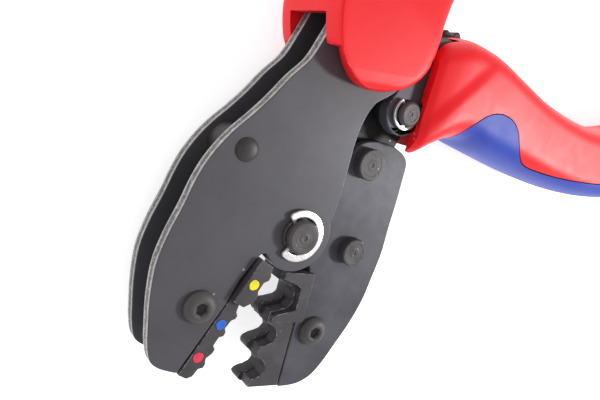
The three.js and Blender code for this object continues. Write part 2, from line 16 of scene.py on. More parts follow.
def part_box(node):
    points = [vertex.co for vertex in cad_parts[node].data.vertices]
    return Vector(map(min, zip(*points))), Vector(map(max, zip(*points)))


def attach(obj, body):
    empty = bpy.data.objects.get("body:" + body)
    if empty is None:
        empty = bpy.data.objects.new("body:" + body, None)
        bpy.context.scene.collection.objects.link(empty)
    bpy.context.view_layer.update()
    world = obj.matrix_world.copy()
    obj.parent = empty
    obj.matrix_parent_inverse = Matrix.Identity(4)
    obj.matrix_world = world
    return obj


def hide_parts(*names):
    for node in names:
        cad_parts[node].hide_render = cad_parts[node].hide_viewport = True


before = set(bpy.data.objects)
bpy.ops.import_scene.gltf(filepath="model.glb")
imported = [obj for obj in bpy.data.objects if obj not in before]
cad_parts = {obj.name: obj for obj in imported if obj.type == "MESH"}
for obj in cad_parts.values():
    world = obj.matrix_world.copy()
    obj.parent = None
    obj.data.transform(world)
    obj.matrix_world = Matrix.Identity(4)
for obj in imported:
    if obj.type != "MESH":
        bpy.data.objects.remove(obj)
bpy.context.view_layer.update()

# ---- sizes, in millimetres -------------------------------------------------------------------
MM = 0.001
TURN = math.radians(21)  # of the head's axes about the frame's Z
FRAME_IN, FRAME_OUT = 4.0, 7.0  # the frame plates' inner and outer faces, from the mid-plane
JAW_IN, JAW_OUT = 1.6, 3.7  # the jaw plates' inner and outer faces
CORE = 1.3  # half thickness of the jaw core and the pawl
SHELL_IN = FRAME_OUT + 0.3  # half width of the pockets in the grips
GRIP_MOST = 12.13  # largest half thickness of the grips
GROOVE = 0.3  # between a grip's two materials
BLOCK_HALF = 8.6  # half thickness of the fixed die's upper block
NEST_HALF, NEST_CORE = 5.2, 4.1  # the moving die's upper block and the plate between its two sides
PIN_CLEAR = 0.15
RIVET_HOLE_R = 2.15
CROSS_HOLE_R = 1.35
MAIN_PIN_R, MAIN_PIN_END = 4.0, 9.7
HINGE_PIN_R, HINGE_PIN_END = 3.0, 9.5
RIVET_TOP = 6.2  # the jaw rivets' heads, from the mid-plane
TOGGLE_PIN_R = 2.4
WHEEL_R, WHEEL_HALF = 9.9, 1.6
P_MAIN = (0.0, 0.0)
P_HINGE = (25.2, 30.0)
P_TOGGLE = (29.0, 44.5)
P_ANCHOR = (10.0, 42.0)
P_RIVET_UP = (18.9, 16.7)
P_RIVET_LOW = (18.2, -5.7)
P_FRAME_RIVET = (-16.0, 19.1)
P_SCREW_FIX = (-22.75, -15.25)
P_SCREW_MOV = (10.5, -26.85)
P_WHEEL = (41.5, 41.9)
P_PAWL = (41.0, 28.6)
P_TANG = ((20.0, 62.0), (33.0, 100.0))
P_HANDLE = ((58.0, 31.5), (88.0, 23.5))
P_CROSS = (20.5, 43)
STEP = 0.28  # spacing of the points along a plate's edge
FINE = 0.16  # the same for dies, clips and small parts
CUTTER_STEP = 0.5  # the same for the outlines that cut the grips
CUTTER_HALF = 20  # half height of those that cut right through


# ---- where things go -------------------------------------------------------------------------
def pivot_point():
    """Middle of the main pivot pin's box: the head's origin on the tool's mid-plane, in metres."""
    low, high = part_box("main_pivot_pin")
    return (np.array(low) + np.array(high)) / 2


ORIGIN = pivot_point()
SPIN = np.array(
    [
        [math.cos(TURN), -math.sin(TURN), 0.0],
        [math.sin(TURN), math.cos(TURN), 0.0],
        [0.0, 0.0, 1.0],
    ]
)


def placed(points):
    """Head millimetres to frame metres: turned about Z by TURN, then moved onto the pivot."""
    return np.asarray(points, float) * MM @ SPIN.T + ORIGIN


# ---- outlines --------------------------------------------------------------------------------
def smooth(points, per=6):
    """Centripetal Catmull-Rom curve: a cubic in each span, whose end slopes are the divided
    differences of its neighbours over the square roots of the spans' lengths."""
    p = np.asarray(points, float)
    p = np.vstack([2 * p[0] - p[1], p, 2 * p[-1] - p[-2]])
    a, b, c, d = p[:-3], p[1:-2], p[2:-1], p[3:]
    k0, k1, k2 = (np.sqrt(np.linalg.norm(v, axis=1))[:, None] for v in (b - a, c - b, d - c))
    m1 = ((b - a) / k0 - (c - a) / (k0 + k1) + (c - b) / k1) * k1
    m2 = ((c - b) / k1 - (d - b) / (k1 + k2) + (d - c) / k2) * k1
    t = np.linspace(0, 1, per, endpoint=False)[None, :, None]
    b, c, m1, m2 = (v[:, None, :] for v in (b, c, m1, m2))
    curve = b + m1 * t + (3 * (c - b) - 2 * m1 - m2) * t**2 + (2 * (b - c) + m1 + m2) * t**3
    return np.vstack([curve.reshape(-1, 2), p[-2:-1]])


def arc(centre, r, start, end, n=32):
    """Points on a circle from one angle to another, in degrees."""
    a = np.radians(np.linspace(start, end, n + 1))
    return np.column_stack([centre[0] + r * np.cos(a), centre[1] + r * np.sin(a)])


def ring(centre, r, n=72):
    """A whole circle, its first point not repeated."""
    return arc(centre, r, 0, 360, n)[:-1]


def area(loop):
    """Signed area of a closed outline by the shoelace sum, positive when counter-clockwise."""
    x, y = loop.T
    return 0.5 * np.sum(x * np.roll(y, -1) - np.roll(x, -1) * y)


def even(loop, step=STEP, soften=0.9):
    """A closed outline resampled at an even spacing by arc length, counter-clockwise, with its corners
    eased by a circular Gaussian average `soften` points wide."""
    loop = np.asarray(loop, float)
    if area(loop) < 0:
        loop = loop[::-1]
    closed = np.vstack([loop, loop[:1]])
    run = np.concatenate([[0], np.cumsum(np.linalg.norm(np.diff(closed, axis=0), axis=1))])
    n = max(12, int(round(run[-1] / step)))
    s = np.linspace(0, run[-1], n, endpoint=False)
    p = np.column_stack([np.interp(s, run, closed[:, i]) for i in range(2)])
    if soften:
        k = np.fft.fftfreq(n)[:, None]
        p = np.fft.ifft(np.fft.fft(p, axis=0) * np.exp(-2 * (math.pi * k * soften) ** 2), axis=0).real
    return p


def inset(loop, d):
    """A counter-clockwise outline moved inwards by d along the normal of each point. Where the moved
    edge would shrink to nothing or turn back, its points are averaged until it runs forward again."""
    along = np.roll(loop, -1, axis=0) - np.roll(loop, 1, axis=0)
    along /= np.linalg.norm(along, axis=1)[:, None] + 1e-12
    moved = loop + np.reshape(d, (-1, 1)) * np.column_stack([-along[:, 1], along[:, 0]])
    seg = np.roll(loop, -1, axis=0) - loop
    for _ in range(200):
        now = np.roll(moved, -1, axis=0) - moved
        tight = (now * seg).sum(1) < 0.12 * (seg * seg).sum(1)
        if not tight.any():
            break
        tight |= np.roll(tight, 1)
        tight |= np.roll(tight, 1) | np.roll(tight, -1)
        mean = (np.roll(moved, 1, axis=0) + np.roll(moved, -1, axis=0)) / 2
        moved[tight] = (0.5 * moved + 0.5 * mean)[tight]
    return moved


# ---- surfaces --------------------------------------------------------------------------------
def band(first, rows, n, flip=False):
    """Quads of a closed strip: `rows` rings of n points each, starting at vertex `first`."""
    i = np.arange(rows - 1)[:, None] * n
    j = np.arange(n)[None, :]
    k = (j + 1) % n
    q = np.stack([i + j, i + k, i + n + k, i + n + j], axis=-1).reshape(-1, 4) + first
    return q[:, ::-1] if flip else q


def cap(loops, starts, up, strict=True):
    """Triangles that fill an outline with holes (a constrained Delaunay fill), facing up or down.
    An outline that touches itself is refused when strict, and filled by ear cutting otherwise."""
    pts = np.vstack(loops)
    ids = np.concatenate([np.arange(len(a)) + s for a, s in zip(loops, starts)])
    first = np.cumsum([0] + [len(a) for a in loops])
    edges = [(f + i, f + (i + 1) % len(a)) for f, a in zip(first, loops) for i in range(len(a))]
    made = delaunay_2d_cdt([Vector(p) for p in pts], edges, [], 2, 1e-7)
    if len(made[0]) == len(pts):
        tri = np.array([own[0] for own in made[3]])[np.array(made[2])]
    elif strict:
        raise ValueError("an outline crosses itself")
    else:
        tri = np.array(tessellate_polygon([[Vector((x, y, 0)) for x, y in a] for a in loops]))
        a, b, c = (pts[tri[:, i]] for i in range(3))
        turn = (b[:, 0] - a[:, 0]) * (c[:, 1] - a[:, 1]) - (b[:, 1] - a[:, 1]) * (c[:, 0] - a[:, 0])
        tri[turn < 0] = tri[turn < 0][:, ::-1]
    return ids[tri if up else tri[:, ::-1]]


def plate(outline, z0, z1, holes=(), r=0.25, rough=0.0, step=STEP, soften=0.9, wall=3, rim=0.14):
    """Flat plate with rounded edges: a profile (narrow flat rim, quarter circle, straight wall,
    quarter circle, rim) carried round the outline and each hole, closed by flat faces. `rough`
    moves the wall's middle rows in and out by a sum of sines along the edge, as a sheared edge does.
    Where narrow teeth leave no room, rounding and rim are tried at half and a fifth of their size."""
    loops = [even(outline, step, soften)] + [even(h, step, 0.0) for h in holes]
    for share in (1.0, 0.5, 0.2):
        try:
            return swept_edge(loops, z0, z1, r * share, rough, step, wall, rim * share)
        except ValueError:
            continue
    return swept_edge(loops, z0, z1, r, rough, step, wall, rim, strict=False)


def swept_edge(loops, z0, z1, r, rough, step, wall, rim, strict=True):
    """The plate's surface for one rounding radius and one rim width."""
    quarter = np.linspace(0, math.pi / 2, 4)
    bend, drop = r * (1 - np.sin(quarter)), r * (1 - np.cos(quarter))
    ins = np.concatenate([[r + rim], bend, np.zeros(wall), bend[::-1], [r + rim]])
    walls = np.linspace(z1 - r, z0 + r, wall + 2)[1:-1]
    ups = np.concatenate([[z1], z1 - drop, walls, (z0 + drop)[::-1], [z0]])
    verts, faces, first = [], [], 0
    tops, bottoms, top_ids, low_ids = [], [], [], []
    for k, loop in enumerate(loops):
        n = len(loop)
        hole = k > 0
        rings = []
        for d, z in zip(ins, ups):
            d = -d if hole else d
            if rough and not hole and abs(d) < 1e-9:
                s = np.arange(n) * step
                d = rough * (np.sin(2.1 * s + 3 * z) + np.sin(5.3 * s - 7 * z) + np.sin(0.7 * s)) / 3
            moved = inset(loop, d)
            rings.append(np.column_stack([moved, np.full(n, z)]))
        verts.append(np.vstack(rings))
        faces.append(band(first, len(ins), n, flip=not hole))
        tops.append(rings[0][:, :2])
        bottoms.append(rings[-1][:, :2])
        top_ids.append(first)
        low_ids.append(first + (len(ins) - 1) * n)
        first += len(ins) * n
    faces.append(cap(tops, top_ids, True, strict))
    faces.append(cap(bottoms, low_ids, False, strict))
    return np.vstack(verts), faces


def rounded(profile, r, n=4):
    """A profile whose inner corners are cut back by r and bridged by quadratic curves."""
    p = np.asarray(profile, float)
    out = [p[:1]]
    for a, b, c in zip(p[:-2], p[1:-1], p[2:]):
        u, v = a - b, c - b
        lu, lv = np.linalg.norm(u), np.linalg.norm(v)
        cut = min(r, 0.45 * lu, 0.45 * lv)
        start, end = b + u / lu * cut, b + v / lv * cut
        t = np.linspace(0, 1, n)[:, None]
        out.append((1 - t) ** 2 * start + 2 * t * (1 - t) * b + t**2 * end)
    return np.vstack(out + [p[-1:]])


def guarded(profile, gap=0.12):
    """A profile with an extra point just inside each end of its long straight runs, so that shading
    and wear stay at the corners."""
    p = np.asarray(profile, float)
    out = [p[:1]]
    for a, b in zip(p[:-1], p[1:]):
        length = np.linalg.norm(b - a)
        if length > 3 * gap:
            u = (b - a) / length * gap
            out.append(np.array([a + u, b - u]))
        out.append(b[None])
    return np.vstack(out)


def turned(profile, centre, n=96, hexes=None):
    """Surface of revolution: each [radius, height] pair, from bottom to top, swept round the vertical
    axis at `centre`. `hexes` blends a row's circle (0) into a hexagon with that radius inside it (1)."""
    p = np.asarray(profile, float) if hexes is not None else guarded(profile)
    a = np.linspace(0, 2 * math.pi, n, endpoint=False)
    six = 1 / np.cos((a + math.pi / 6) % (math.pi / 3) - math.pi / 6)
    h = np.zeros(len(p)) if hexes is None else np.asarray(hexes, float)
    r = p[1:-1, :1] * (1 + h[1:-1, None] * (six - 1)[None, :])
    z = np.repeat(p[1:-1, 1:], n, axis=1)
    rows = np.stack([centre[0] + r * np.cos(a), centre[1] + r * np.sin(a), z], axis=-1).reshape(-1, 3)
    ends = [[centre[0], centre[1], p[0, 1]], [centre[0], centre[1], p[-1, 1]]]
    verts = np.vstack([ends[:1], rows, ends[1:]])
    m = len(p) - 2
    j = np.arange(n)
    k = (j + 1) % n
    low = np.column_stack([np.zeros(n, int), 1 + k, 1 + j])
    top = np.column_stack([np.full(n, len(verts) - 1), 1 + (m - 1) * n + j, 1 + (m - 1) * n + k])
    return verts, [band(1, m, n), low, top]


def mirrored(shape):
    """The shape turned over to the tool's other side: Z negated and every face reversed."""
    return shape[0] * [1, 1, -1], [q[:, ::-1] for q in shape[1]]


def new_mesh(name, verts, faces):
    """A mesh from vertices in head millimetres and faces of three or four corners."""
    mesh = bpy.data.meshes.new(name)
    sizes = np.concatenate([np.full(len(q), q.shape[1]) for q in faces])
    corners = np.concatenate([q.ravel() for q in faces]).astype(np.int32)
    starts = np.concatenate([[0], np.cumsum(sizes)[:-1]]).astype(np.int32)
    mesh.vertices.add(len(verts))
    mesh.vertices.foreach_set("co", placed(verts).astype(np.float32).ravel())
    mesh.loops.add(len(corners))
    mesh.loops.foreach_set("vertex_index", corners)
    mesh.polygons.add(len(sizes))
    mesh.polygons.foreach_set("loop_start", starts)
    mesh.update(calc_edges=True)
    mesh.validate()
    return mesh


def mark_edges(mesh, reach=0.22):
    """Stores how sharply the surface bends outwards at each vertex: the largest normal curvature
    along its edges times `reach` millimetres, from 0 on flat ground to 1 on a crisp corner."""
    nv, ne = len(mesh.vertices), len(mesh.edges)
    co = np.zeros(nv * 3)
    mesh.vertices.foreach_get("co", co)
    co = co.reshape(-1, 3) / MM
    nor = np.zeros(nv * 3)
    mesh.vertices.foreach_get("normal", nor)
    nor = nor.reshape(-1, 3)
    e = np.zeros(ne * 2, int)
    mesh.edges.foreach_get("vertices", e)
    a, b = e.reshape(-1, 2).T
    d = co[b] - co[a]
    l2 = np.maximum((d * d).sum(1), 1e-6)
    bend = np.zeros(nv)
    np.maximum.at(bend, a, -2 * (nor[a] * d).sum(1) / l2)
    np.maximum.at(bend, b, 2 * (nor[b] * d).sum(1) / l2)
    value = np.clip(bend * reach, 0, 1).astype(np.float32)
    layer = mesh.attributes.get("edge") or mesh.attributes.new("edge", "FLOAT", "POINT")
    layer.data.foreach_set("value", value)


def dress(obj, material, body, replaces=(), sharp=32):
    """Shades a finished piece, marks its worn edges, and lets it ride on its body."""
    obj.data.shade_smooth()
    obj.data.set_sharp_from_angle(angle=math.radians(sharp))
    mark_edges(obj.data)
    obj.data.materials.clear()
    obj.data.materials.append(material)
    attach(obj, body)
    if replaces:
        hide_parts(*replaces)
    return obj


def piece(name, shape, material, body, replaces=(), sharp=32):
    """A finished piece from a shape in head millimetres."""
    obj = bpy.data.objects.new(name, new_mesh(name, *shape))
    bpy.context.scene.collection.objects.link(obj)
    return dress(obj, material, body, replaces, sharp)


def combined(base, tool, operation):
    """The union, difference or overlap of two closed shapes, kept in the base object."""
    mod = base.modifiers.new("cut", "BOOLEAN")
    mod.operation = operation
    mod.object = tool
    mod.solver = "MANIFOLD"
    bpy.context.view_layer.update()
    made = bpy.data.meshes.new_from_object(base.evaluated_get(bpy.context.evaluated_depsgraph_get()))
    base.modifiers.clear()
    base.data = made


def solid(name, shape):
    """A bare object, used only while shapes are cut and joined."""
    obj = bpy.data.objects.new(name, new_mesh(name, *shape))
    bpy.context.scene.collection.objects.link(obj)
    return obj


def twin(obj, name):
    """A second object with a copy of the mesh."""
    made = bpy.data.objects.new(name, obj.data.copy())
    bpy.context.scene.collection.objects.link(made)
    return made


def discard(*objs):
    """Removes shapes that only served as cutters."""
    for o in objs:
        bpy.data.objects.remove(o)


# ---- materials -------------------------------------------------------------------------------
class Net:
    """Small helper that adds nodes to a tree and links their sockets."""

    def __init__(self, tree):
        self.tree = tree

    def node(self, kind, **values):
        """A new node with the given settings."""
        n = self.tree.nodes.new(kind)
        for key, value in values.items():
            setattr(n, key, value)
        return n

    def link(self, out, into):
        """Joins an output socket to an input socket."""
        self.tree.links.new(out, into)

    def put(self, into, value):
        """Sets a socket to a constant, or links it when the value is a socket."""
        if isinstance(value, bpy.types.NodeSocket):
            self.link(value, into)
        else:
            into.default_value = value

    def math(self, operation, a, b=0.0, c=0.0, clamp=False):
        """Result of one operation on up to three values or sockets."""
        n = self.node("ShaderNodeMath", operation=operation, use_clamp=clamp)
        for socket, value in zip(n.inputs, (a, b, c)):
            self.put(socket, value)
        return n.outputs[0]

    def noise(self, vector, scale, detail=3.0, rough=0.55, distortion=0.0):
        """Fractal noise, from 0 to 1."""
        n = self.node("ShaderNodeTexNoise")
        self.put(n.inputs["Vector"], vector)
        self.put(n.inputs["Scale"], scale)
        self.put(n.inputs["Detail"], detail)
        self.put(n.inputs["Roughness"], rough)
        self.put(n.inputs["Distortion"], distortion)
        return n.outputs["Fac"]

    def ramp(self, value, low, high, out_low=0.0, out_high=1.0):
        """Eased step from out_low at low to out_high at high."""
        n = self.node("ShaderNodeMapRange", interpolation_type="SMOOTHSTEP")
        for key, v in (
            ("Value", value),
            ("From Min", low),
            ("From Max", high),
            ("To Min", out_low),
            ("To Max", out_high),
        ):
            self.put(n.inputs[key], v)
        return n.outputs[0]

    def mix(self, fac, a, b):
        """Colour a at 0, colour b at 1."""
        n = self.node("ShaderNodeMix", data_type="RGBA")
        self.put(n.inputs["Factor"], fac)
        self.put(n.inputs["A"], a)
        self.put(n.inputs["B"], b)
        return n.outputs["Result"]

    def bump(self, height, strength, distance):
        """Normal tilted by a height, whose full step is `distance` metres."""
        n = self.node("ShaderNodeBump")
        self.put(n.inputs["Height"], height)
        n.inputs["Strength"].default_value = strength
        n.inputs["Distance"].default_value = distance
        return n.outputs["Normal"]

    def place(self):
        """Object coordinates, in metres."""
        return self.node("ShaderNodeTexCoord").outputs["Object"]

    def attribute(self, name):
        """Value of a mesh attribute."""
        n = self.node("ShaderNodeAttribute")
        n.attribute_name = name
        return n.outputs["Fac"]


def new_group(name, inputs, outputs):
    """An empty shader node group with named sockets: (name, kind, default) in and (name, kind) out."""
    tree = bpy.data.node_groups.new(name, "ShaderNodeTree")
    for title, kind, value in inputs:
        socket = tree.interface.new_socket(title, in_out="INPUT", socket_type=kind)
        if value is not None:
            socket.default_value = value
    for title, kind in outputs:
        tree.interface.new_socket(title, in_out="OUTPUT", socket_type=kind)
    net = Net(tree)
    return net, net.node("NodeGroupInput").outputs, net.node("NodeGroupOutput").inputs


FLOAT, VECTOR = "NodeSocketFloat", "NodeSocketVector"


def build_edge_wear():
    """Mask of bare metal: the mesh's edge value broken up by coarse and fine noise."""
    net, given, out = new_group(
        "edge_wear",
        [("Vector", VECTOR, None), ("Edge", FLOAT, 0.0), ("Amount", FLOAT, 0.5), ("Scale", FLOAT, 900.0)],
        [("Mask", FLOAT)],
    )
    coarse = net.noise(given["Vector"], given["Scale"], 4.0, 0.65)
    fine = net.noise(given["Vector"], net.math("MULTIPLY", given["Scale"], 4.3), 2.0, 0.5)
    broken = net.math("ADD", net.math("MULTIPLY", coarse, 0.7), net.math("MULTIPLY", fine, 0.3))
    reach = net.math("SUBTRACT", net.math("ADD", broken, given["Amount"]), 1.0)
    lit = net.math("ADD", given["Edge"], net.math("MULTIPLY", reach, 1.6))
    bare = net.ramp(lit, 0.38, 0.62)
    near_edge = net.ramp(given["Edge"], 0.1, 0.3)
    net.link(net.math("MULTIPLY", bare, near_edge), out["Mask"])
    return net.tree


def build_specks():
    """Mask of fine dust: small round dots, one in each scattered cell, of which a share is kept."""
    net, given, out = new_group(
        "dust_specks",
        [("Vector", VECTOR, None), ("Scale", FLOAT, 260.0), ("Share", FLOAT, 0.12)],
        [("Mask", FLOAT)],
    )
    cells = net.node("ShaderNodeTexVoronoi")
    net.link(given["Vector"], cells.inputs["Vector"])
    net.link(given["Scale"], cells.inputs["Scale"])
    dot = net.ramp(cells.outputs["Distance"], 0.05, 0.10, 1.0, 0.0)
    parts = net.node("ShaderNodeSeparateColor")
    net.link(cells.outputs["Color"], parts.inputs[0])
    keep = net.math("LESS_THAN", parts.outputs[0], given["Share"])
    net.link(net.math("MULTIPLY", dot, keep), out["Mask"])
    return net.tree


def build_rings():
    """Height of fine turning marks: waves of the distance from a round piece's own axis."""
    net, given, out = new_group(
        "turning_marks",
        [("Vector", VECTOR, None), ("Centre", VECTOR, (0, 0, 0)), ("Pitch", FLOAT, 0.00025)],
        [("Height", FLOAT)],
    )
    away = net.node("ShaderNodeVectorMath", operation="SUBTRACT")
    net.link(given["Vector"], away.inputs[0])
    net.link(given["Centre"], away.inputs[1])
    flat = net.node("ShaderNodeVectorMath", operation="MULTIPLY")
    net.link(away.outputs[0], flat.inputs[0])
    flat.inputs[1].default_value = (1, 1, 0)
    far = net.node("ShaderNodeVectorMath", operation="LENGTH")
    net.link(flat.outputs[0], far.inputs[0])
    turns = net.math("DIVIDE", far.outputs["Value"], given["Pitch"])
    wave = net.math("SINE", net.math("MULTIPLY", turns, 6.283))
    uneven = net.noise(given["Vector"], 900.0, 2.0)
    net.link(net.math("MULTIPLY", wave, uneven), out["Height"])
    return net.tree


EDGE_WEAR = build_edge_wear()
SPECKS = build_specks()
RINGS = build_rings()


def use(net, tree, **values):
    """Places a node group, sets or links its inputs, and gives its output."""
    n = net.node("ShaderNodeGroup")
    n.node_tree = tree
    for key, value in values.items():
        net.put(n.inputs[key], value)
    return n.outputs[0]


def material(name):
    """A new material with a bare Principled shader: the helper net, the shader and its inputs."""
    mat = bpy.data.materials.new(name)
    mat.use_nodes = True
    net = Net(mat.node_tree)
    shader = mat.node_tree.nodes["Principled BSDF"]
    return mat, net, shader.inputs


def rgb(r, g, b):
    """A display colour of 0 to 255 as the linear colour that a shader takes."""
    c = np.array([r, g, b]) / 255
    lin = np.where(c <= 0.04045, c / 12.92, ((c + 0.055) / 1.055) ** 2.4)
    return (*lin.tolist(), 1.0)


BARE_STEEL = rgb(172, 170, 166)
DUST = rgb(196, 192, 186)
STEEL_GLOSS = 0.28  # specular level of coated steel
RING_PITCH = 0.0004  # metres from one turning mark to the next


def coated_steel(name, base, rough, metal, wear, grain=0.05, dust=0.10, centre=None):
    """Dark oxide-coated steel: mottled colour and sheen, a fine grain, bare bright corners, dust
    specks, and turning marks about `centre` where the piece is turned."""
    mat, net, s = material(name)
    at = net.place()
    mottle = net.noise(at, 60.0, 4.0, 0.6)
    fine = net.noise(at, 2400.0, 2.0, 0.6)
    smear = net.noise(at, 210.0, 5.0, 0.62, 0.6)
    darker = tuple(0.72 * v for v in base[:3]) + (1.0,)
    lighter = tuple(min(1.0, 1.25 * v) for v in base[:3]) + (1.0,)
    colour = net.mix(net.ramp(mottle, 0.32, 0.68), darker, lighter)
    mask = use(net, EDGE_WEAR, Vector=at, Edge=net.attribute("edge"), Amount=wear)
    colour = net.mix(mask, colour, BARE_STEEL)
    speck = use(net, SPECKS, Vector=at, Share=dust)
    colour = net.mix(net.math("MULTIPLY", speck, 0.55), colour, DUST)
    net.link(colour, s["Base Color"])
    net.link(net.math("ADD", net.math("MULTIPLY", mask, 0.55), metal, clamp=True), s["Metallic"])
    sheen = net.math("ADD", net.math("MULTIPLY", smear, 0.16), rough - 0.08)
    net.link(net.math("SUBTRACT", sheen, net.math("MULTIPLY", mask, 0.12), clamp=True), s["Roughness"])
    height = net.math("ADD", net.math("MULTIPLY", fine, grain), net.math("MULTIPLY", smear, 0.03))
    if centre is not None:
        marks = use(net, RINGS, Vector=at, Centre=tuple(centre), Pitch=RING_PITCH)
        height = net.math("ADD", height, net.math("MULTIPLY", marks, 0.10))
    net.link(net.bump(height, 0.6, 0.00035), s["Normal"])
    s["Specular IOR Level"].default_value = STEEL_GLOSS
    return mat


def sheared_steel():
    """Coated plate whose sheared edge is bare: bright torn lines along both corners of the wall, with
    a darker, half-coated streak between them."""
    mat, net, s = material("frame_plate_steel")
    at = net.place()
    parts = net.node("ShaderNodeSeparateXYZ")
    net.link(net.node("ShaderNodeNewGeometry").outputs["Normal"], parts.inputs[0])
    side = net.ramp(net.math("ABSOLUTE", parts.outputs["Z"]), 0.25, 0.93, 1.0, 0.0)
    level = net.node("ShaderNodeSeparateXYZ")
    net.link(at, level.inputs[0])
    deep = net.math("ABSOLUTE", net.math("SUBTRACT", level.outputs["Z"], float(ORIGIN[2])))
    middle = net.math("ABSOLUTE", net.math("SUBTRACT", deep, (FRAME_IN + FRAME_OUT) / 2 * MM))
    tear = net.noise(at, 420.0, 5.0, 0.7, 0.3)
    spots = net.noise(at, 1700.0, 3.0, 0.6)
    line = net.ramp(net.math("ADD", middle, net.math("MULTIPLY", tear, 0.0011)), 0.0009, 0.0016)
    spots = net.math("MULTIPLY", net.ramp(spots, 0.5, 0.62), 0.5)
    bare = net.math("ADD", net.math("MULTIPLY", line, 0.85), spots, clamp=True)
    bare = net.math("MULTIPLY", bare, side)
    mottle = net.noise(at, 45.0, 4.0, 0.6)
    smear = net.noise(at, 190.0, 5.0, 0.62, 0.6)
    fine = net.noise(at, 2400.0, 2.0, 0.6)
    colour = net.mix(net.ramp(mottle, 0.3, 0.7), rgb(74, 72, 76), rgb(84, 82, 87))
    colour = net.mix(bare, colour, net.mix(tear, rgb(120, 118, 114), rgb(206, 204, 200)))
    speck = use(net, SPECKS, Vector=at, Scale=230.0, Share=0.13)
    colour = net.mix(net.math("MULTIPLY", speck, 0.5), colour, rgb(205, 203, 198))
    net.link(colour, s["Base Color"])
    net.link(net.math("ADD", net.math("MULTIPLY", bare, 0.5), 0.12, clamp=True), s["Metallic"])
    net.link(net.math("ADD", net.math("MULTIPLY", smear, 0.14), 0.36), s["Roughness"])
    torn = net.math("MULTIPLY", net.math("MULTIPLY", tear, side), 0.6)
    height = net.math("ADD", net.math("MULTIPLY", fine, 0.05), torn)
    net.link(net.bump(height, 0.6, 0.0004), s["Normal"])
    s["Specular IOR Level"].default_value = STEEL_GLOSS
    return mat


def bright_steel(name, colour=(236, 235, 232)):
    """Bare spring steel: light brushed sheen with small stains."""
    mat, net, s = material(name)
    at = net.place()
    brushed = net.noise(at, 1500.0, 3.0, 0.6)
    stain = net.noise(at, 300.0, 4.0, 0.6)
    net.link(net.mix(net.ramp(stain, 0.35, 0.75), rgb(*colour), rgb(200, 197, 190)), s["Base Color"])
    s["Metallic"].default_value = 0.85
    net.link(net.math("ADD", net.math("MULTIPLY", stain, 0.2), 0.2), s["Roughness"])
    net.link(net.bump(brushed, 0.25, 0.0002), s["Normal"])
    return mat


def moulded(name, base, deep, pale, rough=0.42):
    """Moulded soft plastic: colour that drifts from `base` to `deep`, a fine matt skin, and rubbed
    corners and dust specks in the `pale` colour."""
    mat, net, s = material(name)
    at = net.place()
    drift = net.noise(at, 35.0, 3.0, 0.5)
    skin = net.noise(at, 1900.0, 3.0, 0.6)
    swirl = net.noise(at, 160.0, 5.0, 0.6, 0.8)
    colour = net.mix(net.ramp(drift, 0.3, 0.7), base, deep)
    rub = use(net, EDGE_WEAR, Vector=at, Edge=net.attribute("edge"), Amount=0.22, Scale=700.0)
    colour = net.mix(net.math("MULTIPLY", rub, 0.45), colour, pale)
    speck = use(net, SPECKS, Vector=at, Scale=180.0, Share=0.05)
    colour = net.mix(net.math("MULTIPLY", speck, 0.4), colour, pale)
    net.link(colour, s["Base Color"])
    net.link(net.math("ADD", net.math("MULTIPLY", swirl, 0.16), rough - 0.08), s["Roughness"])
    height = net.math("ADD", net.math("MULTIPLY", skin, 0.10), net.math("MULTIPLY", swirl, 0.05))
    net.link(net.bump(height, 0.5, 0.0003), s["Normal"])
    s["Subsurface Weight"].default_value = 0.08
    s["Subsurface Radius"].default_value = (0.9, 0.25, 0.2)
    s["Subsurface Scale"].default_value = 0.0012
    s["Specular IOR Level"].default_value = 0.25
    return mat


def paint(name, colour):
    """Thick enamel dot: a dab with a slightly uneven skin."""
    mat, net, s = material(name)
    at = net.place()
    uneven = net.noise(at, 700.0, 3.0, 0.5)
    shade = tuple(0.8 * v for v in colour[:3]) + (1.0,)
    net.link(net.mix(net.ramp(uneven, 0.35, 0.7), colour, shade), s["Base Color"])
    net.link(net.math("ADD", net.math("MULTIPLY", uneven, 0.2), 0.25), s["Roughness"])
    net.link(net.bump(uneven, 0.4, 0.0002), s["Normal"])
    return mat


PLATE_STEEL = sheared_steel()
JAW_STEEL = coated_steel("jaw_plate_steel", rgb(74, 73, 80), 0.48, 0.12, 0.16)
HIDDEN_STEEL = coated_steel("inner_plate_steel", rgb(40, 40, 42), 0.5, 0.3, 0.25, dust=0.03)
DIE_STEEL = coated_steel("die_steel", rgb(74, 70, 74), 0.50, 0.15, 0.17, grain=0.12, dust=0.22)
OXIDE = coated_steel("oxide_steel", rgb(56, 52, 53), 0.44, 0.15, 0.14)
BRIGHT = bright_steel("clip_steel")
SPRING = bright_steel("spring_steel", (170, 170, 172))
RED = moulded("red_grip", rgb(236, 28, 36), rgb(226, 20, 28), rgb(255, 178, 160))
BLUE = moulded("blue_inlay", rgb(50, 74, 178), rgb(42, 62, 162), rgb(126, 142, 214), 0.5)
YELLOW_DOT = paint("dot_yellow_paint", rgb(246, 230, 30))
BLUE_DOT = paint("dot_blue_paint", rgb(40, 105, 205))
RED_DOT = paint("dot_red_paint", rgb(235, 50, 80))


def ringed(name, centre):
    """Oxide steel whose turning marks run round one piece's axis."""
    at = placed([[*centre, 0.0]])[0]
    return coated_steel(name, rgb(72, 68, 69), 0.48, 0.12, 0.12, dust=0.08, centre=at)


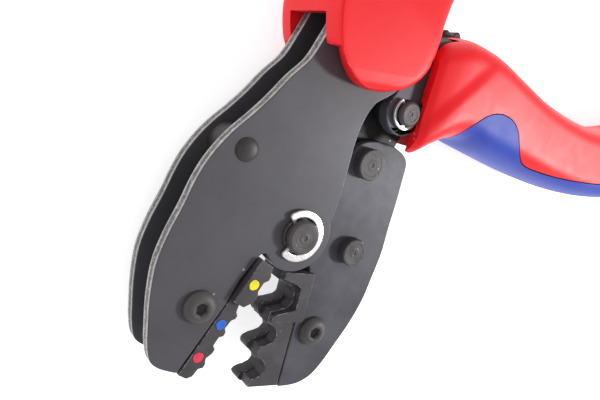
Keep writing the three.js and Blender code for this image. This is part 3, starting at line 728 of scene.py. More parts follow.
# ---- frame plates ----------------------------------------------------------------------------
BACK_EDGE = [
    (24, 112), (17, 92), (11, 74), (5, 57), (2.2, 50.5), (-1.1, 43.7), (-3.7, 39.1), (-7.8, 35.0),
    (-11.6, 30.6), (-15.5, 26.6), (-19.3, 23.1), (-22.3, 19.7), (-24.9, 15.9), (-26.8, 12.0),
    (-28.6, 7.3), (-31.4, 0.7), (-33.1, -4.9), (-33.7, -11.5), (-33.6, -17.8), (-33.2, -23.4),
    (-32.3, -26.9), (-30.4, -28.7), (-26.2, -30.6),
]
DIE_SEAT = [(-16.3, -15.3), (-13.5, -9.7), (-9.2, -4.2)]
RIGHT_EDGE = [
    (8.5, 3.2), (9.3, 5.2), (10.1, 9.0), (11.0, 15.1), (12.0, 22.6), (13.4, 27.4), (15.8, 31.3),
    (19.1, 33.2), (21.5, 34.9), (22.8, 38), (23.2, 44), (24, 50), (25.5, 57), (30, 75), (36, 95),
    (41, 112), (43, 119), (38, 124), (30, 125), (26, 120),
]


def near_and_far(name, shape, mat, body):
    """The same plate on both sides of the tool, standing for the CAD nodes of those names."""
    piece(name + "_near_skin", shape, mat, body, [name + "_near"])
    piece(name + "_far_skin", mirrored(shape), mat, body, [name + "_far"])


def frame_plates():
    """Two stamped plates with torn edges, pierced for pins, screw and rivets."""
    outline = np.vstack([smooth(BACK_EDGE), DIE_SEAT, arc(P_MAIN, 8.9, 207, 382), smooth(RIGHT_EDGE)])
    holes = [
        ring(P_MAIN, MAIN_PIN_R + PIN_CLEAR),
        ring(P_ANCHOR, TOGGLE_PIN_R + PIN_CLEAR),
        ring(P_SCREW_FIX, RIVET_HOLE_R),
        ring(P_FRAME_RIVET, RIVET_HOLE_R),
        *(ring(c, RIVET_HOLE_R) for c in P_TANG),
    ]
    shape = plate(outline, FRAME_IN, FRAME_OUT, holes, r=0.22, rough=0.05, wall=5)
    near_and_far("frame_plate", shape, PLATE_STEEL, "frame")


# ---- turned pieces ---------------------------------------------------------------------------
def grooved(r, end, neck):
    """Profile of a pin with a clip groove just outside each outer plate, and a small centre mark."""
    z = FRAME_OUT + 0.25
    half = [
        (r, 0.1), (r, z), (neck, z), (neck, z + 0.9), (r, z + 0.9), (r, end - 0.45), (r - 0.3, end - 0.1),
        (r - 0.5, end), (0.62 * r, end), (0.6 * r, end - 0.06), (0.3 * r, end - 0.06), (0.28 * r, end),
        (0.16 * r, end), (0.1 * r, end - 0.18), (0, end - 0.2),
    ]
    low = [(a, -b) for a, b in reversed(half)]
    return rounded(low + half, 0.12)


def headed(r, head, z, end):
    """Profile of a rivet with a wide turned head on each side: a chamfered rim, a shallow ring and a
    centre mark."""
    half = [
        (r, 0.1), (r, z), (head, z), (head, end - 0.3), (head - 0.25, end), (0.72 * head, end),
        (0.7 * head, end - 0.05), (0.36 * head, end - 0.05), (0.34 * head, end), (0.13 * head, end),
        (0.08 * head, end - 0.16), (0, end - 0.18),
    ]
    low = [(a, -b) for a, b in reversed(half)]
    return rounded(low + half, 0.1)


def domed(r, head, dome, half):
    """Profile of a small rivet with a domed head on each side."""
    t = np.linspace(0, math.pi / 2, 9)[1:]
    top = [(r, 0.1), (r, half), (head, half), (head, half + 0.12)]
    top += [(head * math.cos(a), half + 0.12 + (dome - 0.12) * math.sin(a)) for a in t]
    top[-1] = (0, half + dome)
    low = [(a, -b) for a, b in reversed(top)]
    return np.array(low + top)


def straight(r, z, ease=0.2):
    """Profile of a plain pin with eased ends."""
    return rounded([(0, -z), (r, -z), (r, z), (0, z)], ease)


def axle(name, profile, centre, body, mat=OXIDE):
    """A turned piece on its own axis, standing for the CAD node of that name."""
    shape = turned(profile, centre)
    piece(name + "_skin", shape, mat, body, [name], sharp=40)


def pivots():
    """Pins, rivets and the spacer collar."""
    shape = grooved(MAIN_PIN_R, MAIN_PIN_END, 3.0)
    axle("main_pivot_pin", shape, P_MAIN, "frame", ringed("main_pin_steel", P_MAIN))
    shape = grooved(HINGE_PIN_R, HINGE_PIN_END, 2.2)
    axle("hinge_pin", shape, P_HINGE, "moving_handle", ringed("hinge_pin_steel", P_HINGE))
    shape = headed(3.0, 3.9, JAW_OUT, RIVET_TOP)
    axle("jaw_rivet_upper", shape, P_RIVET_UP, "moving_jaw", ringed("upper_rivet_steel", P_RIVET_UP))
    shape = headed(2.6, 3.55, JAW_OUT, RIVET_TOP)
    axle("jaw_rivet_lower", shape, P_RIVET_LOW, "moving_jaw", ringed("lower_rivet_steel", P_RIVET_LOW))
    axle("frame_rivet", domed(2.0, 2.6, 0.8, FRAME_OUT), P_FRAME_RIVET, "frame")
    gap = FRAME_IN - 0.03
    collar = plate(ring(P_FRAME_RIVET, 4.2), -gap, gap, [ring(P_FRAME_RIVET, 2.3)], 0.2)
    piece("frame_spacer_skin", collar, OXIDE, "frame", ["frame_spacer"])
    for name, r, centre, body in (
        ("toggle_anchor_pin", TOGGLE_PIN_R, P_ANCHOR, "frame"),
        ("toggle_pin", TOGGLE_PIN_R, P_TOGGLE, "moving_handle"),
        ("wheel_pin", 2.0, P_WHEEL, "moving_handle"),
        ("pawl_pin", 1.5, P_PAWL, "moving_handle"),
        ("tang_rivet_1", 2.0, P_TANG[0], "frame"),
        ("tang_rivet_2", 2.0, P_TANG[1], "frame"),
        ("handle_rivet_1", 2.0, P_HANDLE[0], "moving_handle"),
        ("handle_rivet_2", 2.0, P_HANDLE[1], "moving_handle"),
    ):
        axle(name, straight(r, FRAME_OUT), centre, body)


def open_ring(centre, outer, band_in, neck, mouth, half_mouth):
    """Outline of an open retaining ring: a round band with eased tips at its mouth, and three lobes
    that reach in to the groove's radius `neck` at the tips and opposite the mouth. Angles in degrees."""
    a = np.radians(np.linspace(mouth + half_mouth, mouth + 360 - half_mouth, 181))
    mid = math.radians(mouth + 180)
    near_tip = np.minimum(a - a[0], a[-1] - a)
    lobe = np.exp(-((near_tip / 0.16) ** 4)) + np.exp(-(((a - mid) / 0.17) ** 4))
    inner = band_in - (band_in - neck) * np.clip(lobe, 0, 1)
    ease = np.sqrt(np.clip(near_tip / 0.14, 0, 1) * (2 - np.clip(near_tip / 0.14, 0, 1)))
    out_r = (outer + neck) / 2 + (outer - (outer + neck) / 2) * (0.45 + 0.55 * ease)
    u = np.column_stack([np.cos(a), np.sin(a)])
    return np.vstack([centre + out_r[:, None] * u, (centre + inner[:, None] * u)[::-1]])


def clips():
    """Bright retaining rings on both ends of the two big pins."""
    for name, centre, body, sizes in (
        ("main_clip", P_MAIN, "frame", (6.15, 4.5, 3.3, 174, 47)),
        ("hinge_clip", P_HINGE, "moving_handle", (4.05, 3.3, 2.5, 75, 44)),
    ):
        outline = open_ring(np.array(centre), *sizes)
        low, high = FRAME_OUT + 0.3, FRAME_OUT + 1.08
        shape = plate(outline, low, high, r=0.14, step=FINE, soften=0.8, wall=1)
        near_and_far(name, shape, BRIGHT, body)


def button_screw(face, back):
    """Profile rows of a button-head screw: shank, domed head (powers of cosine and sine), chamfered
    hexagon socket; and for each row how far its circle is turned into a hexagon."""
    shank_r, head_r, head_height, land_r = 2.0, 3.8, 1.82, 1.95
    rows = [
        (0, back), (shank_r - 0.2, back), (shank_r, back + 0.2), (shank_r, face - 0.02),
        (head_r - 0.14, face - 0.02), (head_r, face + 0.12),
    ]
    for a in np.linspace(0.12, 1.18, 9):
        r = head_r * math.cos(a) ** 0.55 if a > 0.2 else head_r
        rows.append((max(r, land_r), face + 0.28 + head_height * math.sin(a) ** 1.1))
    top = rows[-1][1]
    circles = [0.0] * len(rows)
    rows += [
        (1.62, top), (1.5, top - 0.08), (1.26, top - 0.3), (1.25, top - 1.2), (1.22, top - 1.3),
        (0.5, top - 1.6), (0, top - 1.75),
    ]
    return np.array(rows), circles + [0.0, 0.35, 1.0, 1.0, 1.0, 0.0, 0.0]


def screws():
    """The two die screws."""
    for name, centre, face, body in (
        ("fixed_die_screw", P_SCREW_FIX, FRAME_OUT, "frame"),
        ("moving_die_screw", P_SCREW_MOV, JAW_OUT, "moving_jaw"),
    ):
        rows, hexes = button_screw(face, -face)
        mat = ringed(name + "_steel", centre)
        piece(name + "_skin", turned(rows, centre, 120, hexes), mat, body, [name], sharp=50)


# ---- moving jaw ------------------------------------------------------------------------------
JAW_OUTER = [
    (12.2, 15.5), (14.8, 19.8), (16.6, 21.5), (20.4, 22.2), (26.2, 21.4), (31.0, 18.9), (32.2, 16.9),
    (31.9, 12.5), (31.4, 7.7), (30.2, -0.5), (29.4, -7.1), (27.7, -13.5), (25.8, -19.9),
    (22.8, -26.1), (18.9, -32.1), (15.2, -37.4), (12.3, -40.2), (9.1, -41.5), (5.9, -41.7),
    (2.9, -41.4),
]


def polar(centre, r, degrees):
    """Point at a distance and an angle from a centre."""
    a = math.radians(degrees)
    return (centre[0] + r * math.cos(a), centre[1] + r * math.sin(a))


def jaw_plates():
    """Two outer jaw plates and the toothed core plate between them."""
    outline = np.vstack([smooth(JAW_OUTER)[::-1], arc(P_MAIN, 8.6, 60, 305), [(7.0, -10.0)]])
    holes = [
        ring(P_MAIN, MAIN_PIN_R + PIN_CLEAR),
        ring(P_RIVET_UP, 3.15),
        ring(P_RIVET_LOW, 2.75),
        ring(P_SCREW_MOV, RIVET_HOLE_R),
    ]
    shape = plate(outline, JAW_IN, JAW_OUT, holes, r=0.3, rough=0.02)
    near_and_far("jaw_plate", shape, JAW_STEEL, "moving_jaw")
    teeth = []
    for a in 82 - 7.5 * np.arange(13):
        teeth += [polar(P_HINGE, 8.6, a), polar(P_HINGE, 7.5, a - 1.2)]
    core = np.vstack(
        [
            smooth([(28.6, 19.5), (27.6, 8), (26.0, -3), (23.4, -11), (17, -12.4), (9.5, -10.2)]),
            arc(P_MAIN, 7.6, 285, 100),
            smooth([(5.5, 8.9), (10.5, 14), (14.4, 21), (17.6, 26.5), (19.2, 31.5), (21.4, 35.6)]),
            teeth,
            [(31.2, 24.8)],
        ]
    )
    holes = [
        ring(P_MAIN, MAIN_PIN_R + PIN_CLEAR),
        ring(P_RIVET_UP, 3.15),
        ring(P_RIVET_LOW, 2.75),
        ring(P_HINGE, HINGE_PIN_R + PIN_CLEAR),
    ]
    shape = plate(core, -CORE, CORE, holes, r=0.12, step=0.2, soften=0.4)
    piece("jaw_core_skin", shape, HIDDEN_STEEL, "moving_jaw", ["jaw_core"])


# ---- dies ------------------------------------------------------------------------------------
def along(degrees, side):
    """Maps (distance along a die from the pivot, distance across it towards the mouth) to the head's
    axes, for a die that points at an angle."""
    a = math.radians(degrees)
    u = np.array([math.cos(a), math.sin(a)])
    n = side * np.array([-u[1], u[0]])
    return lambda pts: np.asarray(pts, float) @ np.array([u, n])


ON_FIXED = along(238.3, 1)
ON_MOVING = along(262.5, -1)
FIX_BACK = -5.5
MOV_BACK = -7.9


def worked(base, *more):
    """Several closed shapes welded into one body."""
    whole = solid("welded", base)
    for shape in more:
        other = solid("part", shape)
        combined(whole, other, "UNION")
        discard(other)
    return whole


def fixed_die():
    """Fixed die: a thick upper block over two thinner nests, its tongue between the frame plates, and
    a paint dot beside each nest."""
    nests = [
        (20.0, FIX_BACK), (20.0, -2.6), (20.6, -2.6), (22.0, -2.2), (22.7, -1.3), (23.5, -1.3),
        (24.3, -2.0), (26.4, -2.2), (27.2, -1.4), (28.1, -1.4), (28.8, -2.2), (30.9, -2.2),
        (31.6, -1.2), (32.6, -1.2), (34.2, -1.9), (35.5, -1.1), (36.3, -1.1), (37.0, -2.0),
        (39.0, -2.2), (40.0, -3.2), (40.0, FIX_BACK),
    ]
    block = [
        (9.2, FIX_BACK), (9.2, -1.9), (10.6, -1.5), (11.2, -0.9), (12.3, -0.8), (13.3, -1.6),
        (15.4, -1.6), (16.4, -1.0), (17.6, -0.9), (18.6, -1.2), (20.2, -2.5), (20.2, FIX_BACK),
    ]
    tongue = [(12, -3), (12, -13), (19, -17.5), (31, -17.5), (38.5, -11), (38.5, -3)]
    die = worked(
        plate(ON_FIXED(nests), -FRAME_OUT, FRAME_OUT, r=0.13, step=FINE, soften=0.45),
        plate(ON_FIXED(block), -BLOCK_HALF, BLOCK_HALF, r=0.16, step=FINE, soften=0.45),
        plate(ON_FIXED(tongue), -JAW_OUT, JAW_OUT, r=0.2, step=0.4),
    )
    hole = solid("hole", turned(straight(RIVET_HOLE_R, 12), P_SCREW_FIX))
    combined(die, hole, "DIFFERENCE")
    discard(hole)
    die.name = "fixed_die_skin"
    dress(die, DIE_STEEL, "frame", ["fixed_die"])
    for name, st, z, mat in (
        ("dot_yellow", (14.8, -3.6), BLOCK_HALF, YELLOW_DOT),
        ("dot_blue", (26.1, -3.8), FRAME_OUT, BLUE_DOT),
        ("dot_red", (34.7, -3.9), FRAME_OUT, RED_DOT),
    ):
        centre = ON_FIXED([st])[0]
        a = np.linspace(0, 2 * math.pi, 60, endpoint=False)
        wobble = 1.22 * (1 + 0.03 * np.sin(3 * a + z) + 0.02 * np.sin(5 * a))
        dab = centre + wobble[:, None] * np.column_stack([np.cos(a), np.sin(a)])
        shape = plate(dab, z + 0.01, z + 0.14, r=0.06, step=0.12, wall=1)
        piece(name + "_dab", shape, mat, "frame", [name])


def nest(s0, s1, depth, lip):
    """One nest of the moving die: a rounded trough between two tooth tips."""
    return [
        (s0, lip), (s0 + 0.7, -depth * 0.45), (s0 + 1.9, -depth * 0.85), (s0 + 3.2, -depth),
        (s1 - 2.2, -depth), (s1 - 1.0, -depth * 0.8), (s1 - 0.2, -depth * 0.3), (s1, lip),
    ]


def finger(s0, s1, tip):
    """Tip of one of the far half's longer teeth."""
    return [
        (s0, tip - 1.3), (s0 + 0.5, tip - 0.4), (s0 + 1.2, tip), (s1 - 1.2, tip), (s1 - 0.5, tip - 0.4),
        (s1, tip - 1.3),
    ]


def moving_die():
    """Moving die: three deep nests, longer teeth on its far half, a thicker upper block and a tongue
    in the core's plane."""
    near = [
        (9.8, MOV_BACK), (9.8, -0.6), (11.9, -0.4), *nest(12.2, 20.3, 5.6, -0.3), (22.6, 0.0),
        *nest(23.2, 29.6, 3.8, 0.1), (31.6, 0.5), *nest(32.2, 38.2, 3.0, 0.6), (40.3, 0.7),
        (40.3, MOV_BACK),
    ]
    far = [
        (9.8, MOV_BACK), (9.8, -0.6), (11.9, -0.4), *nest(12.2, 19.4, 5.6, -0.3), *finger(19.6, 22.8, 1.2),
        *nest(23.3, 28.9, 3.8, -0.3), *finger(29.2, 32.2, 1.6), *nest(32.6, 37.9, 3.0, 0.0),
        *finger(38.1, 40.6, 1.9), (40.6, MOV_BACK),
    ]

    def upper(back):
        """Outline of the upper block, whose back lies at `back`."""
        return ON_MOVING(
            [
                (9.8, back), (9.8, -0.7), (11.6, -0.7), (12.6, -4), (13.6, -6.3), (19.4, -6.3), (20.2, -3),
                (20.9, -0.4), (22.6, -0.2), (22.4, back),
            ]
        )

    tongue = [(13, -6.5), (13, -9.5), (19, -15.5), (32, -15.5), (38.5, -11), (38.5, -6)]
    fine = {"step": FINE, "soften": 0.45, "rim": 0.1}
    root = NEST_CORE - 0.14
    die = worked(
        plate(ON_MOVING(near), -0.3, JAW_OUT, r=0.16, **fine),
        plate(ON_MOVING(far), -JAW_OUT, 0.0, r=0.16, **fine),
        plate(upper(MOV_BACK), -NEST_CORE, NEST_CORE, r=0.02, **fine),
        plate(upper(MOV_BACK - 1.4), root, NEST_HALF, r=0.18, **fine),
        plate(upper(MOV_BACK - 1.4), -NEST_HALF, -root, r=0.18, **fine),
        plate(ON_MOVING(tongue), -CORE, CORE, r=0.15, step=0.4),
    )
    hole = solid("hole", turned(straight(RIVET_HOLE_R, 12), P_SCREW_MOV))
    combined(die, hole, "DIFFERENCE")
    discard(hole)
    die.name = "moving_die_skin"
    dress(die, DIE_STEEL, "moving_jaw", ["moving_die"])


# ---- moving handle's steel -------------------------------------------------------------------
def handle_steel():
    """Cheeks, washers, toggle links, adjusting wheel and pawl."""
    outline = np.vstack(
        [
            arc(P_HINGE, 5.6, 165, 292),
            smooth([(31, 25.2), (37, 26.2), (45, 27.2), (60, 23.4), (75, 20.2), (100, 16.4)]),
            [(102, 21.5)],
            smooth([(100, 27), (75, 33), (60, 38), (50, 43), (43, 46.3), (38, 48.0), (35.2, 48.8)]),
            smooth([(33.4, 48.9), (31.0, 48.9), (27.6, 48.3), (25.4, 45.6), (24.7, 42)]),
            [(22.6, 36.5)],
        ]
    )
    holes = [
        ring(P_HINGE, HINGE_PIN_R + PIN_CLEAR),
        ring(P_TOGGLE, TOGGLE_PIN_R + PIN_CLEAR),
        ring(P_WHEEL, RIVET_HOLE_R),
        ring(P_PAWL, 1.65),
        *(ring(c, RIVET_HOLE_R) for c in P_HANDLE),
    ]
    shape = plate(outline, FRAME_IN, FRAME_OUT, holes, r=0.25, rough=0.03)
    near_and_far("handle_cheek", shape, JAW_STEEL, "moving_handle")
    hole = ring(P_HINGE, HINGE_PIN_R + PIN_CLEAR)
    disc = plate(ring(P_HINGE, 5.0), JAW_IN, JAW_OUT, [hole], r=0.15)
    near_and_far("hinge_washer", disc, HIDDEN_STEEL, "moving_handle")
    link = np.vstack([arc(P_TOGGLE, 4.4, -78, 82), arc(P_ANCHOR, 6.4, 92, 262)])
    holes = [
        ring(P_TOGGLE, TOGGLE_PIN_R + PIN_CLEAR),
        ring(P_ANCHOR, TOGGLE_PIN_R + 1.8),
        ring(P_CROSS, CROSS_HOLE_R),
    ]
    shape = plate(link, JAW_IN, JAW_OUT, holes, r=0.2)
    near_and_far("toggle_link", shape, HIDDEN_STEEL, "toggle_links")
    pin = turned(straight(1.2, JAW_OUT), P_CROSS, 48)
    piece("link_cross_pin_skin", pin, OXIDE, "toggle_links", ["link_cross_pin"])
    a = np.linspace(0, 2 * math.pi, 560, endpoint=False)
    rim = WHEEL_R - 0.62 + 0.62 * np.cos(14 * a)
    rim = np.column_stack([P_WHEEL[0] + rim * np.cos(a), P_WHEEL[1] + rim * np.sin(a)])
    wheel = plate(rim, -WHEEL_HALF, WHEEL_HALF, [ring(P_WHEEL, RIVET_HOLE_R)], r=0.3, step=0.12)
    piece("star_wheel_skin", wheel, OXIDE, "star_wheel", ["star_wheel"])
    tip = np.vstack([[(34.4, 30.6), (34.5, 29.2), (37.5, 27.2)], arc(P_PAWL, 2.6, -90, 90), [(38, 31.0)]])
    shape = plate(tip, -CORE, CORE, [ring(P_PAWL, 1.65)], r=0.12, step=FINE, soften=0.4)
    piece("pawl_skin", shape, HIDDEN_STEEL, "pawl", ["pawl"])


def coil(start, end, radius, turns, wire):
    """Close-wound spring: a round wire carried along a helix, its section on the helix's normal and
    binormal, closed by a point at each end. The last turn at each end tightens to a flat ring."""
    start, end = np.array([*start, 0.0]), np.array([*end, 0.0])
    axis = end - start
    length = np.linalg.norm(axis)
    axis /= length
    side = np.array([-axis[1], axis[0], 0.0])
    up = np.array([0.0, 0.0, 1.0])
    t = np.linspace(0, 1, int(turns * 28))
    run = wire + (length - 2 * wire) * np.clip((t * turns - 0.6) / (turns - 1.2), 0, 1)
    a = 2 * math.pi * turns * t
    out = np.cos(a)[:, None] * side + np.sin(a)[:, None] * up
    path = start + run[:, None] * axis + radius * out
    tangent = np.gradient(path, axis=0)
    tangent /= np.linalg.norm(tangent, axis=1)[:, None]
    other = np.cross(tangent, out)
    other /= np.linalg.norm(other, axis=1)[:, None]
    n = 12
    b = np.linspace(0, 2 * math.pi, n, endpoint=False)[None, :, None]
    rows = path[:, None, :] + wire * (np.cos(b) * out[:, None, :] + np.sin(b) * other[:, None, :])
    m = len(t)
    verts = np.vstack([rows.reshape(-1, 3), path[:1], path[-1:]])
    j = np.arange(n)
    k = (j + 1) % n
    head = np.column_stack([np.full(n, m * n), j, k])
    tail = np.column_stack([np.full(n, m * n + 1), (m - 1) * n + k, (m - 1) * n + j])
    faces = [band(0, m, n, flip=True), head, tail]
    middle = rows[m // 2].mean(0)
    p, q, r = (rows.reshape(-1, 3)[i] for i in faces[0][(m // 2) * n][:3])
    if np.dot(np.cross(q - p, r - p), p - middle) < 0:
        faces = [f[:, ::-1] for f in faces]
    return verts, faces


def springs():
    """Return spring inside the frame and the pawl's spring between the cheeks."""
    for name, body, sizes in (
        ("return_spring", "frame", ((20.0, 59.6), (20.0, 50.4), 2.1, 9, 0.42)),
        ("pawl_spring", "moving_handle", ((44.6, 28.4), (52.6, 26.8), 1.15, 8, 0.3)),
    ):
        piece(name + "_skin", coil(*sizes), SPRING, body, [name], sharp=60)


# ---- hand grips ------------------------------------------------------------------------------
# Each station: an edge point on the back or palm side, the one across from it, the half thickness.
FIXED_STATIONS = [
    ((11.6, 34.3), (15.8, 34.3), 9.6), ((8.4, 34.9), (18.9, 34.8), 11.0), ((5.6, 35.9), (21.9, 35.7), 11.7),
    ((3.4, 37.4), (24.5, 37.2), 12.0), ((1.4, 39.4), (26.9, 39.4), 12.2), ((0.1, 41.4), (28.2, 41.4), 12.2),
    ((-0.4, 42.4), (28.5, 42.4), 12.2), ((-0.6, 42.8), (28.6, 42.8), 12.2),
    ((-0.9, 43.6), (29.0, 43.6), 12.2),
    ((-1.7, 47.2), (29.8, 47.2), 12.2), ((-2.0, 51.4), (30.4, 50.6), 12.2),
    ((-1.2, 58.6), (32.4, 57.0), 12.2), ((3.6, 70.5), (35.2, 66.8), 12.2),
    ((9.4, 82.0), (38.8, 78.2), 12.2), ((15.0, 94.2), (42.8, 91.2), 12.2),
    ((20.4, 108.0), (47.2, 104.5), 12.2), ((25.6, 122.0), (52.0, 118.0), 12.2),
    ((30.4, 136.0), (56.4, 132.0), 12.2), ((34.4, 150.0), (60.0, 146.0), 12.2),
    ((37.4, 162.0), (62.6, 158.0), 12.0), ((40.0, 171.0), (62.8, 167.5), 11.2),
    ((43.4, 176.6), (60.6, 174.2), 9.2), ((47.4, 179.4), (57.0, 178.2), 6.0),
]
MOVING_STATIONS = [
    ((26.9, 19.4), (31.6, 46.4), 10.2), ((28.9, 19.4), (33.5, 48.3), 11.1),
    ((33.5, 21.8), (38.2, 49.5), 11.9), ((39.7, 24.0), (43.1, 50.0), 12.2),
    ((45.8, 24.0), (48.2, 49.1), 12.2), ((52.0, 21.9), (54.0, 47.4), 12.2),
    ((62.7, 18.8), (63.9, 43.3), 12.2), ((73.8, 15.7), (74.8, 38.9), 12.2),
    ((85.9, 12.7), (86.5, 35.4), 12.2), ((98.0, 10.2), (98.1, 32.9), 12.2),
    ((111.0, 8.8), (110.5, 31.6), 12.2), ((124.0, 8.6), (122.8, 31.8), 12.2),
    ((137.0, 9.6), (134.8, 33.4), 12.2), ((150.0, 11.8), (146.4, 36.4), 12.1),
    ((160.0, 15.2), (154.8, 38.6), 11.3), ((166.0, 19.4), (161.0, 38.4), 9.4),
    ((169.0, 24.2), (166.0, 35.4), 6.0),
]


def loft(stations, per=7, left=2.4, right=6.0, power=0.6, shape_z=None, lip=None):
    """Hand-grip body: sections between two edge points that follow smooth curves through the
    stations. Each section is flat, with quarter super-ellipses (cosine and sine raised to `power`)
    `left` millimetres wide at the first edge point and `right` at the other. Both ends are closed by
    a centre point. `shape_z` may scale the half thickness over the plan. `lip` gives, for the first
    edge's Y, how far its wall leans in below the face, as an overhanging lip does."""
    a = smooth([s[0] for s in stations], per)
    b = smooth([s[1] for s in stations], per)
    half = smooth([(i, s[2]) for i, s in enumerate(stations)], per)[:, 1]
    half = np.minimum(half, GRIP_MOST)
    quarter = np.linspace(0, math.pi / 2, 17)[1:]
    fall, lift = 1 - np.cos(quarter) ** power, np.sin(quarter) ** power
    width = np.linalg.norm(b - a, axis=1)[:, None]
    near_a = np.minimum(left / width, 0.46)
    near_b = np.minimum(right / width, 0.46)
    flat = np.linspace(0, 1, 22)[None, 1:-1]
    level_part = (1 - near_b) * (1 - flat) + near_a * flat
    over = np.hstack([1 - near_b * fall, level_part, near_a * fall[::-1]])
    level = np.concatenate([lift, np.ones(flat.shape[1]), lift[::-1]])
    one, zero = np.ones_like(width), np.zeros_like(width)
    share = np.hstack([one, over, zero, over[:, ::-1]])
    s = np.concatenate([[0], level, [0], -level[::-1]])
    n = len(s)
    mid = (a + b) / 2
    plan = a[:, None, :] + (b - a)[:, None, :] * share[..., None]
    if lip is not None:
        lean = np.minimum(lip(a[:, 1]), 0.25 * width[:, 0])[:, None] * (1 - np.abs(s))[None, :]
        plan[..., 0] += lean * np.clip(1 - share * width / 6, 0, 1)
    z = half[:, None] * s[None, :]
    if shape_z is not None:
        z = z * shape_z(plan[..., 0], plan[..., 1])
    rows = np.concatenate([plan, z[..., None]], axis=-1)
    m = len(a)
    verts = np.vstack([rows.reshape(-1, 3), [[*mid[0], 0.0]], [[*mid[-1], 0.0]]])
    j = np.arange(n)
    k = (j + 1) % n
    head = np.column_stack([np.full(n, m * n), j, k])
    tail = np.column_stack([np.full(n, m * n + 1), (m - 1) * n + k, (m - 1) * n + j])
    faces = [band(0, m, n, flip=True), head, tail]
    quad = rows.reshape(-1, 3)[faces[0][(m // 2) * n]]
    outward = np.dot(np.cross(quad[1] - quad[0], quad[2] - quad[0]), quad[0] - [*mid[m // 2], 0])
    if outward < 0:
        faces = [f[:, ::-1] for f in faces]
    return verts, faces


def prism(points, z):
    """Cutter: a closed outline carried straight up from -z to z, with flat ends."""
    loop = even(points, CUTTER_STEP, 0.0)
    n = len(loop)
    verts = np.vstack([np.column_stack([loop, np.full(n, h)]) for h in (z, -z)])
    return verts, [band(0, 2, n, flip=True), cap([loop], [0], True), cap([loop], [n], False)]


def widened(points, d):
    """A closed outline grown by d."""
    return inset(even(points, CUTTER_STEP, 0.6), -d)


def two_colour(name, body, shape, pocket, rooms, inlay):
    """A moulded grip and its inlay: the lofted shape, hollowed by the pocket and the rooms for what
    turns in it, parted along the inlay's outline with a fine groove between the two materials."""
    whole = solid("whole", shape)
    for cutter in (prism(pocket, SHELL_IN), *rooms):
        tool = solid("cutter", cutter)
        combined(whole, tool, "DIFFERENCE")
        discard(tool)
    second = twin(whole, name + "_inlay_part")
    inside = solid("inside", prism(inlay, CUTTER_HALF))
    outside = solid("outside", prism(widened(inlay, GROOVE), CUTTER_HALF))
    combined(whole, outside, "DIFFERENCE")
    combined(second, inside, "INTERSECT")
    discard(inside, outside)
    whole.name, second.name = name + "_skin", name + "_inlay_skin"
    dress(whole, RED, body, [name], sharp=38)
    dress(second, BLUE, body, [name + "_inlay"], sharp=38)


def across_line(x, y, ax, ay, bx, by):
    """Distances past a line from a to b (to its left) and along it."""
    length = math.hypot(bx - ax, by - ay)
    ux, uy = (bx - ax) / length, (by - ay) / length
    return -(x - ax) * uy + (y - ay) * ux, (x - ax) * ux + (y - ay) * uy


def eased(t):
    """Smooth step from 0 to 1."""
    t = np.clip(t, 0, 1)
    return t * t * (3 - 2 * t)


def ridge(x, y):
    """Scale of the moving grip's half thickness: a shallow dish up and left of a slanting ridge, and
    a gentle fall away on the ridge's other side."""
    across, run = across_line(x, y, 32.5, 28.6, 49.0, 42.8)
    fade = 1 - eased((run - 14) / 16.0)
    return 1 - 0.055 * eased(across / 3.4) * fade - 0.05 * eased(-across / 16.0) * fade


def facet(x, y):
    """Scale of the fixed grip's half thickness: a bevel that falls away beyond a line across the
    shoulder, easing out along the grip."""
    across, _ = across_line(x, y, 24.6, 47.8, 14.4, 54.2)
    return 1 - 0.07 * eased(-across / 12.0) * (1 - eased((y - 62) / 20.0))


def lobe_lip(y):
    """Lean of the lobe's wall, in millimetres at mid thickness: full below the shoulder, none above."""
    return 8.0 * (1 - eased((y - 42.4) / 0.4))


def grips():
    """Both hand grips."""
    fixed_pocket = [
        (-30, 20), (45, 20), (45, 49.4), (24.6, 49.4), (26.2, 57), (30.7, 75), (36.7, 95), (41.8, 112),
        (44, 119.6), (38.3, 124.9), (29.6, 125.9), (25.2, 120.4), (23.2, 112), (16.2, 92), (10.2, 74),
        (4.2, 57), (1.6, 49.2), (-30, 49.2),
    ]
    fixed_band = np.vstack(
        [
            smooth(
                [
                    (-6, 58), (4.0, 62), (9.5, 67), (14.5, 74), (18.4, 82), (19.6, 89), (19.4, 95),
                    (21.0, 101), (26, 113), (33, 132), (38.6, 149), (40.0, 160), (36, 164),
                ]
            ),
            [(20, 160), (-6, 100)],
        ]
    )
    shape = loft(FIXED_STATIONS, left=1.2, right=5.0, shape_z=facet, lip=lobe_lip)
    two_colour("fixed_grip", "frame", shape, fixed_pocket, [], fixed_band)
    moving_pocket = [
        (0, 0), (32.6, 0), (32.6, 24.2), (45, 26.2), (60, 22.4), (75, 19.2), (100.4, 15.4), (103, 21.5),
        (100.6, 28), (75, 34), (60, 39.1), (50, 44.1), (43, 47.5), (36.6, 49.6), (36.6, 60), (0, 60),
    ]
    moving_band = np.vstack(
        [
            smooth(
                [
                    (39.5, 19), (40.8, 23.2), (42.1, 26.0), (43.8, 28.2), (46, 29.9), (48.9, 31.6),
                    (52.6, 32.6), (56.7, 32.3), (60.2, 30.8), (62.6, 28.3), (64.2, 25.2),
                    (66.4, 22.0), (70, 19.4), (78, 17.4), (92, 15.6), (112, 14.6), (132, 15.4),
                    (148, 19.0), (156, 16), (160, 10),
                ]
            ),
            [(150, -5), (80, -5)],
        ]
    )
    rooms = [
        turned(straight(5.2, 8.4, 0.05), P_HINGE),
        turned(straight(3.5, 14, 0.05), P_HINGE),
        turned(straight(WHEEL_R + 0.6, WHEEL_HALF + 0.5, 0.05), P_WHEEL),
    ]
    shape = loft(MOVING_STATIONS, left=8.0, right=6.0, power=0.75, shape_z=ridge)
    two_colour("moving_grip", "moving_handle", shape, moving_pocket, rooms, moving_band)


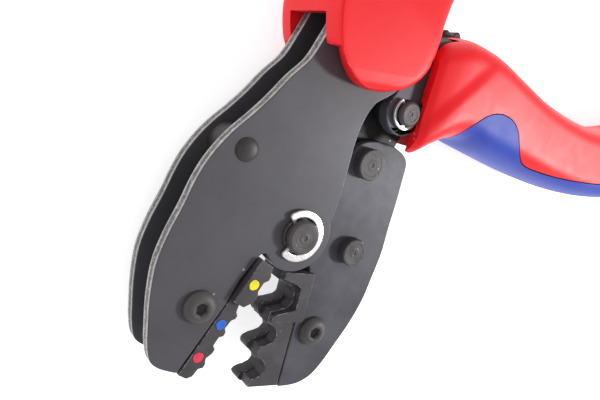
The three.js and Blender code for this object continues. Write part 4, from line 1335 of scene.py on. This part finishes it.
# ---- stage -----------------------------------------------------------------------------------
FLOOR_HALF = 1.6
FLOOR_GLOW = 0.62
SKY_STRENGTH = 1.25
KEY_SIZE, KEY_POWER, KEY_AWAY = 0.10, 3.4, 0.7
KEY_DIRECTION = (0.8, -0.1, 0.62)  # from the head towards the key light, in the head's axes
LENS, SENSOR = 34.8, 36.0
CAMERA_PLACE = (-72.19, 37.55, FRAME_OUT + 105.0)  # in head millimetres
CAMERA_TURN = (  # columns: the camera's right, up and back directions in the head's axes
    (0.83763, 0.0, -0.54624),
    (0.14646, 0.96338, 0.22459),
    (0.52623, -0.26813, 0.80696),
)


def area_light(name, size, power, place, target):
    """A square soft light at a place, aimed at a target, both in frame metres."""
    data = bpy.data.lights.new(name, "AREA")
    data.size = size
    data.energy = power
    obj = bpy.data.objects.new(name, data)
    bpy.context.scene.collection.objects.link(obj)
    obj.location = place
    obj.rotation_euler = (Vector(target) - Vector(place)).to_track_quat("-Z", "Y").to_euler()


def stage():
    """Plain pale floor that glows a little, surroundings that are white at the horizon and dimmer
    overhead, and one key light from the moving handle's side."""
    half = FLOOR_HALF
    mesh = bpy.data.meshes.new("floor")
    corners = [(-half, -half, 0), (half, -half, 0), (half, half, 0), (-half, half, 0)]
    mesh.from_pydata(corners, [], [(0, 1, 2, 3)])
    floor = bpy.data.objects.new("floor", mesh)
    bpy.context.scene.collection.objects.link(floor)
    mat, net, s = material("floor_white")
    shade = net.noise(net.place(), 4.0, 2.0)
    net.link(net.mix(shade, (0.86, 0.86, 0.86, 1), (0.9, 0.9, 0.9, 1)), s["Base Color"])
    s["Roughness"].default_value = 0.6
    s["Emission Color"].default_value = (1.0, 1.0, 1.0, 1)
    s["Emission Strength"].default_value = FLOOR_GLOW
    mesh.materials.append(mat)
    world = bpy.data.worlds.new("studio")
    bpy.context.scene.world = world
    world.use_nodes = True
    back = world.node_tree.nodes["Background"]
    sky = Net(world.node_tree)
    height = sky.node("ShaderNodeSeparateXYZ")
    sky.link(sky.node("ShaderNodeTexCoord").outputs["Generated"], height.inputs[0])
    low, high = (1.0, 1.0, 1.0, 1), (0.42, 0.42, 0.44, 1)
    sky.link(sky.mix(sky.ramp(height.outputs["Z"], 0.15, 0.85), low, high), back.inputs["Color"])
    back.inputs["Strength"].default_value = SKY_STRENGTH
    middle = placed([[0, 0, 8]])[0]
    key = np.array(KEY_DIRECTION)
    key /= np.linalg.norm(key)
    area_light("key", KEY_SIZE, KEY_POWER, middle + SPIN @ key * KEY_AWAY, middle)


def camera():
    """Camera in front of the head: place and axes in the head's own axes, from the viewing angle."""
    data = bpy.data.cameras.new("camera")
    data.lens = LENS
    data.sensor_width = SENSOR
    data.clip_start = 0.005
    obj = bpy.data.objects.new("camera", data)
    bpy.context.scene.collection.objects.link(obj)
    where = np.eye(4)
    where[:3, :3] = SPIN @ np.array(CAMERA_TURN)
    where[:3, 3] = placed([CAMERA_PLACE])[0]
    obj.matrix_world = Matrix(where.tolist())
    bpy.context.scene.camera = obj


camera()
stage()
frame_plates()
pivots()
clips()
screws()
jaw_plates()
fixed_die()
moving_die()
handle_steel()
springs()
grips()
bpy.context.scene.view_settings.view_transform = "Standard"

bpy.context.view_layer.update()
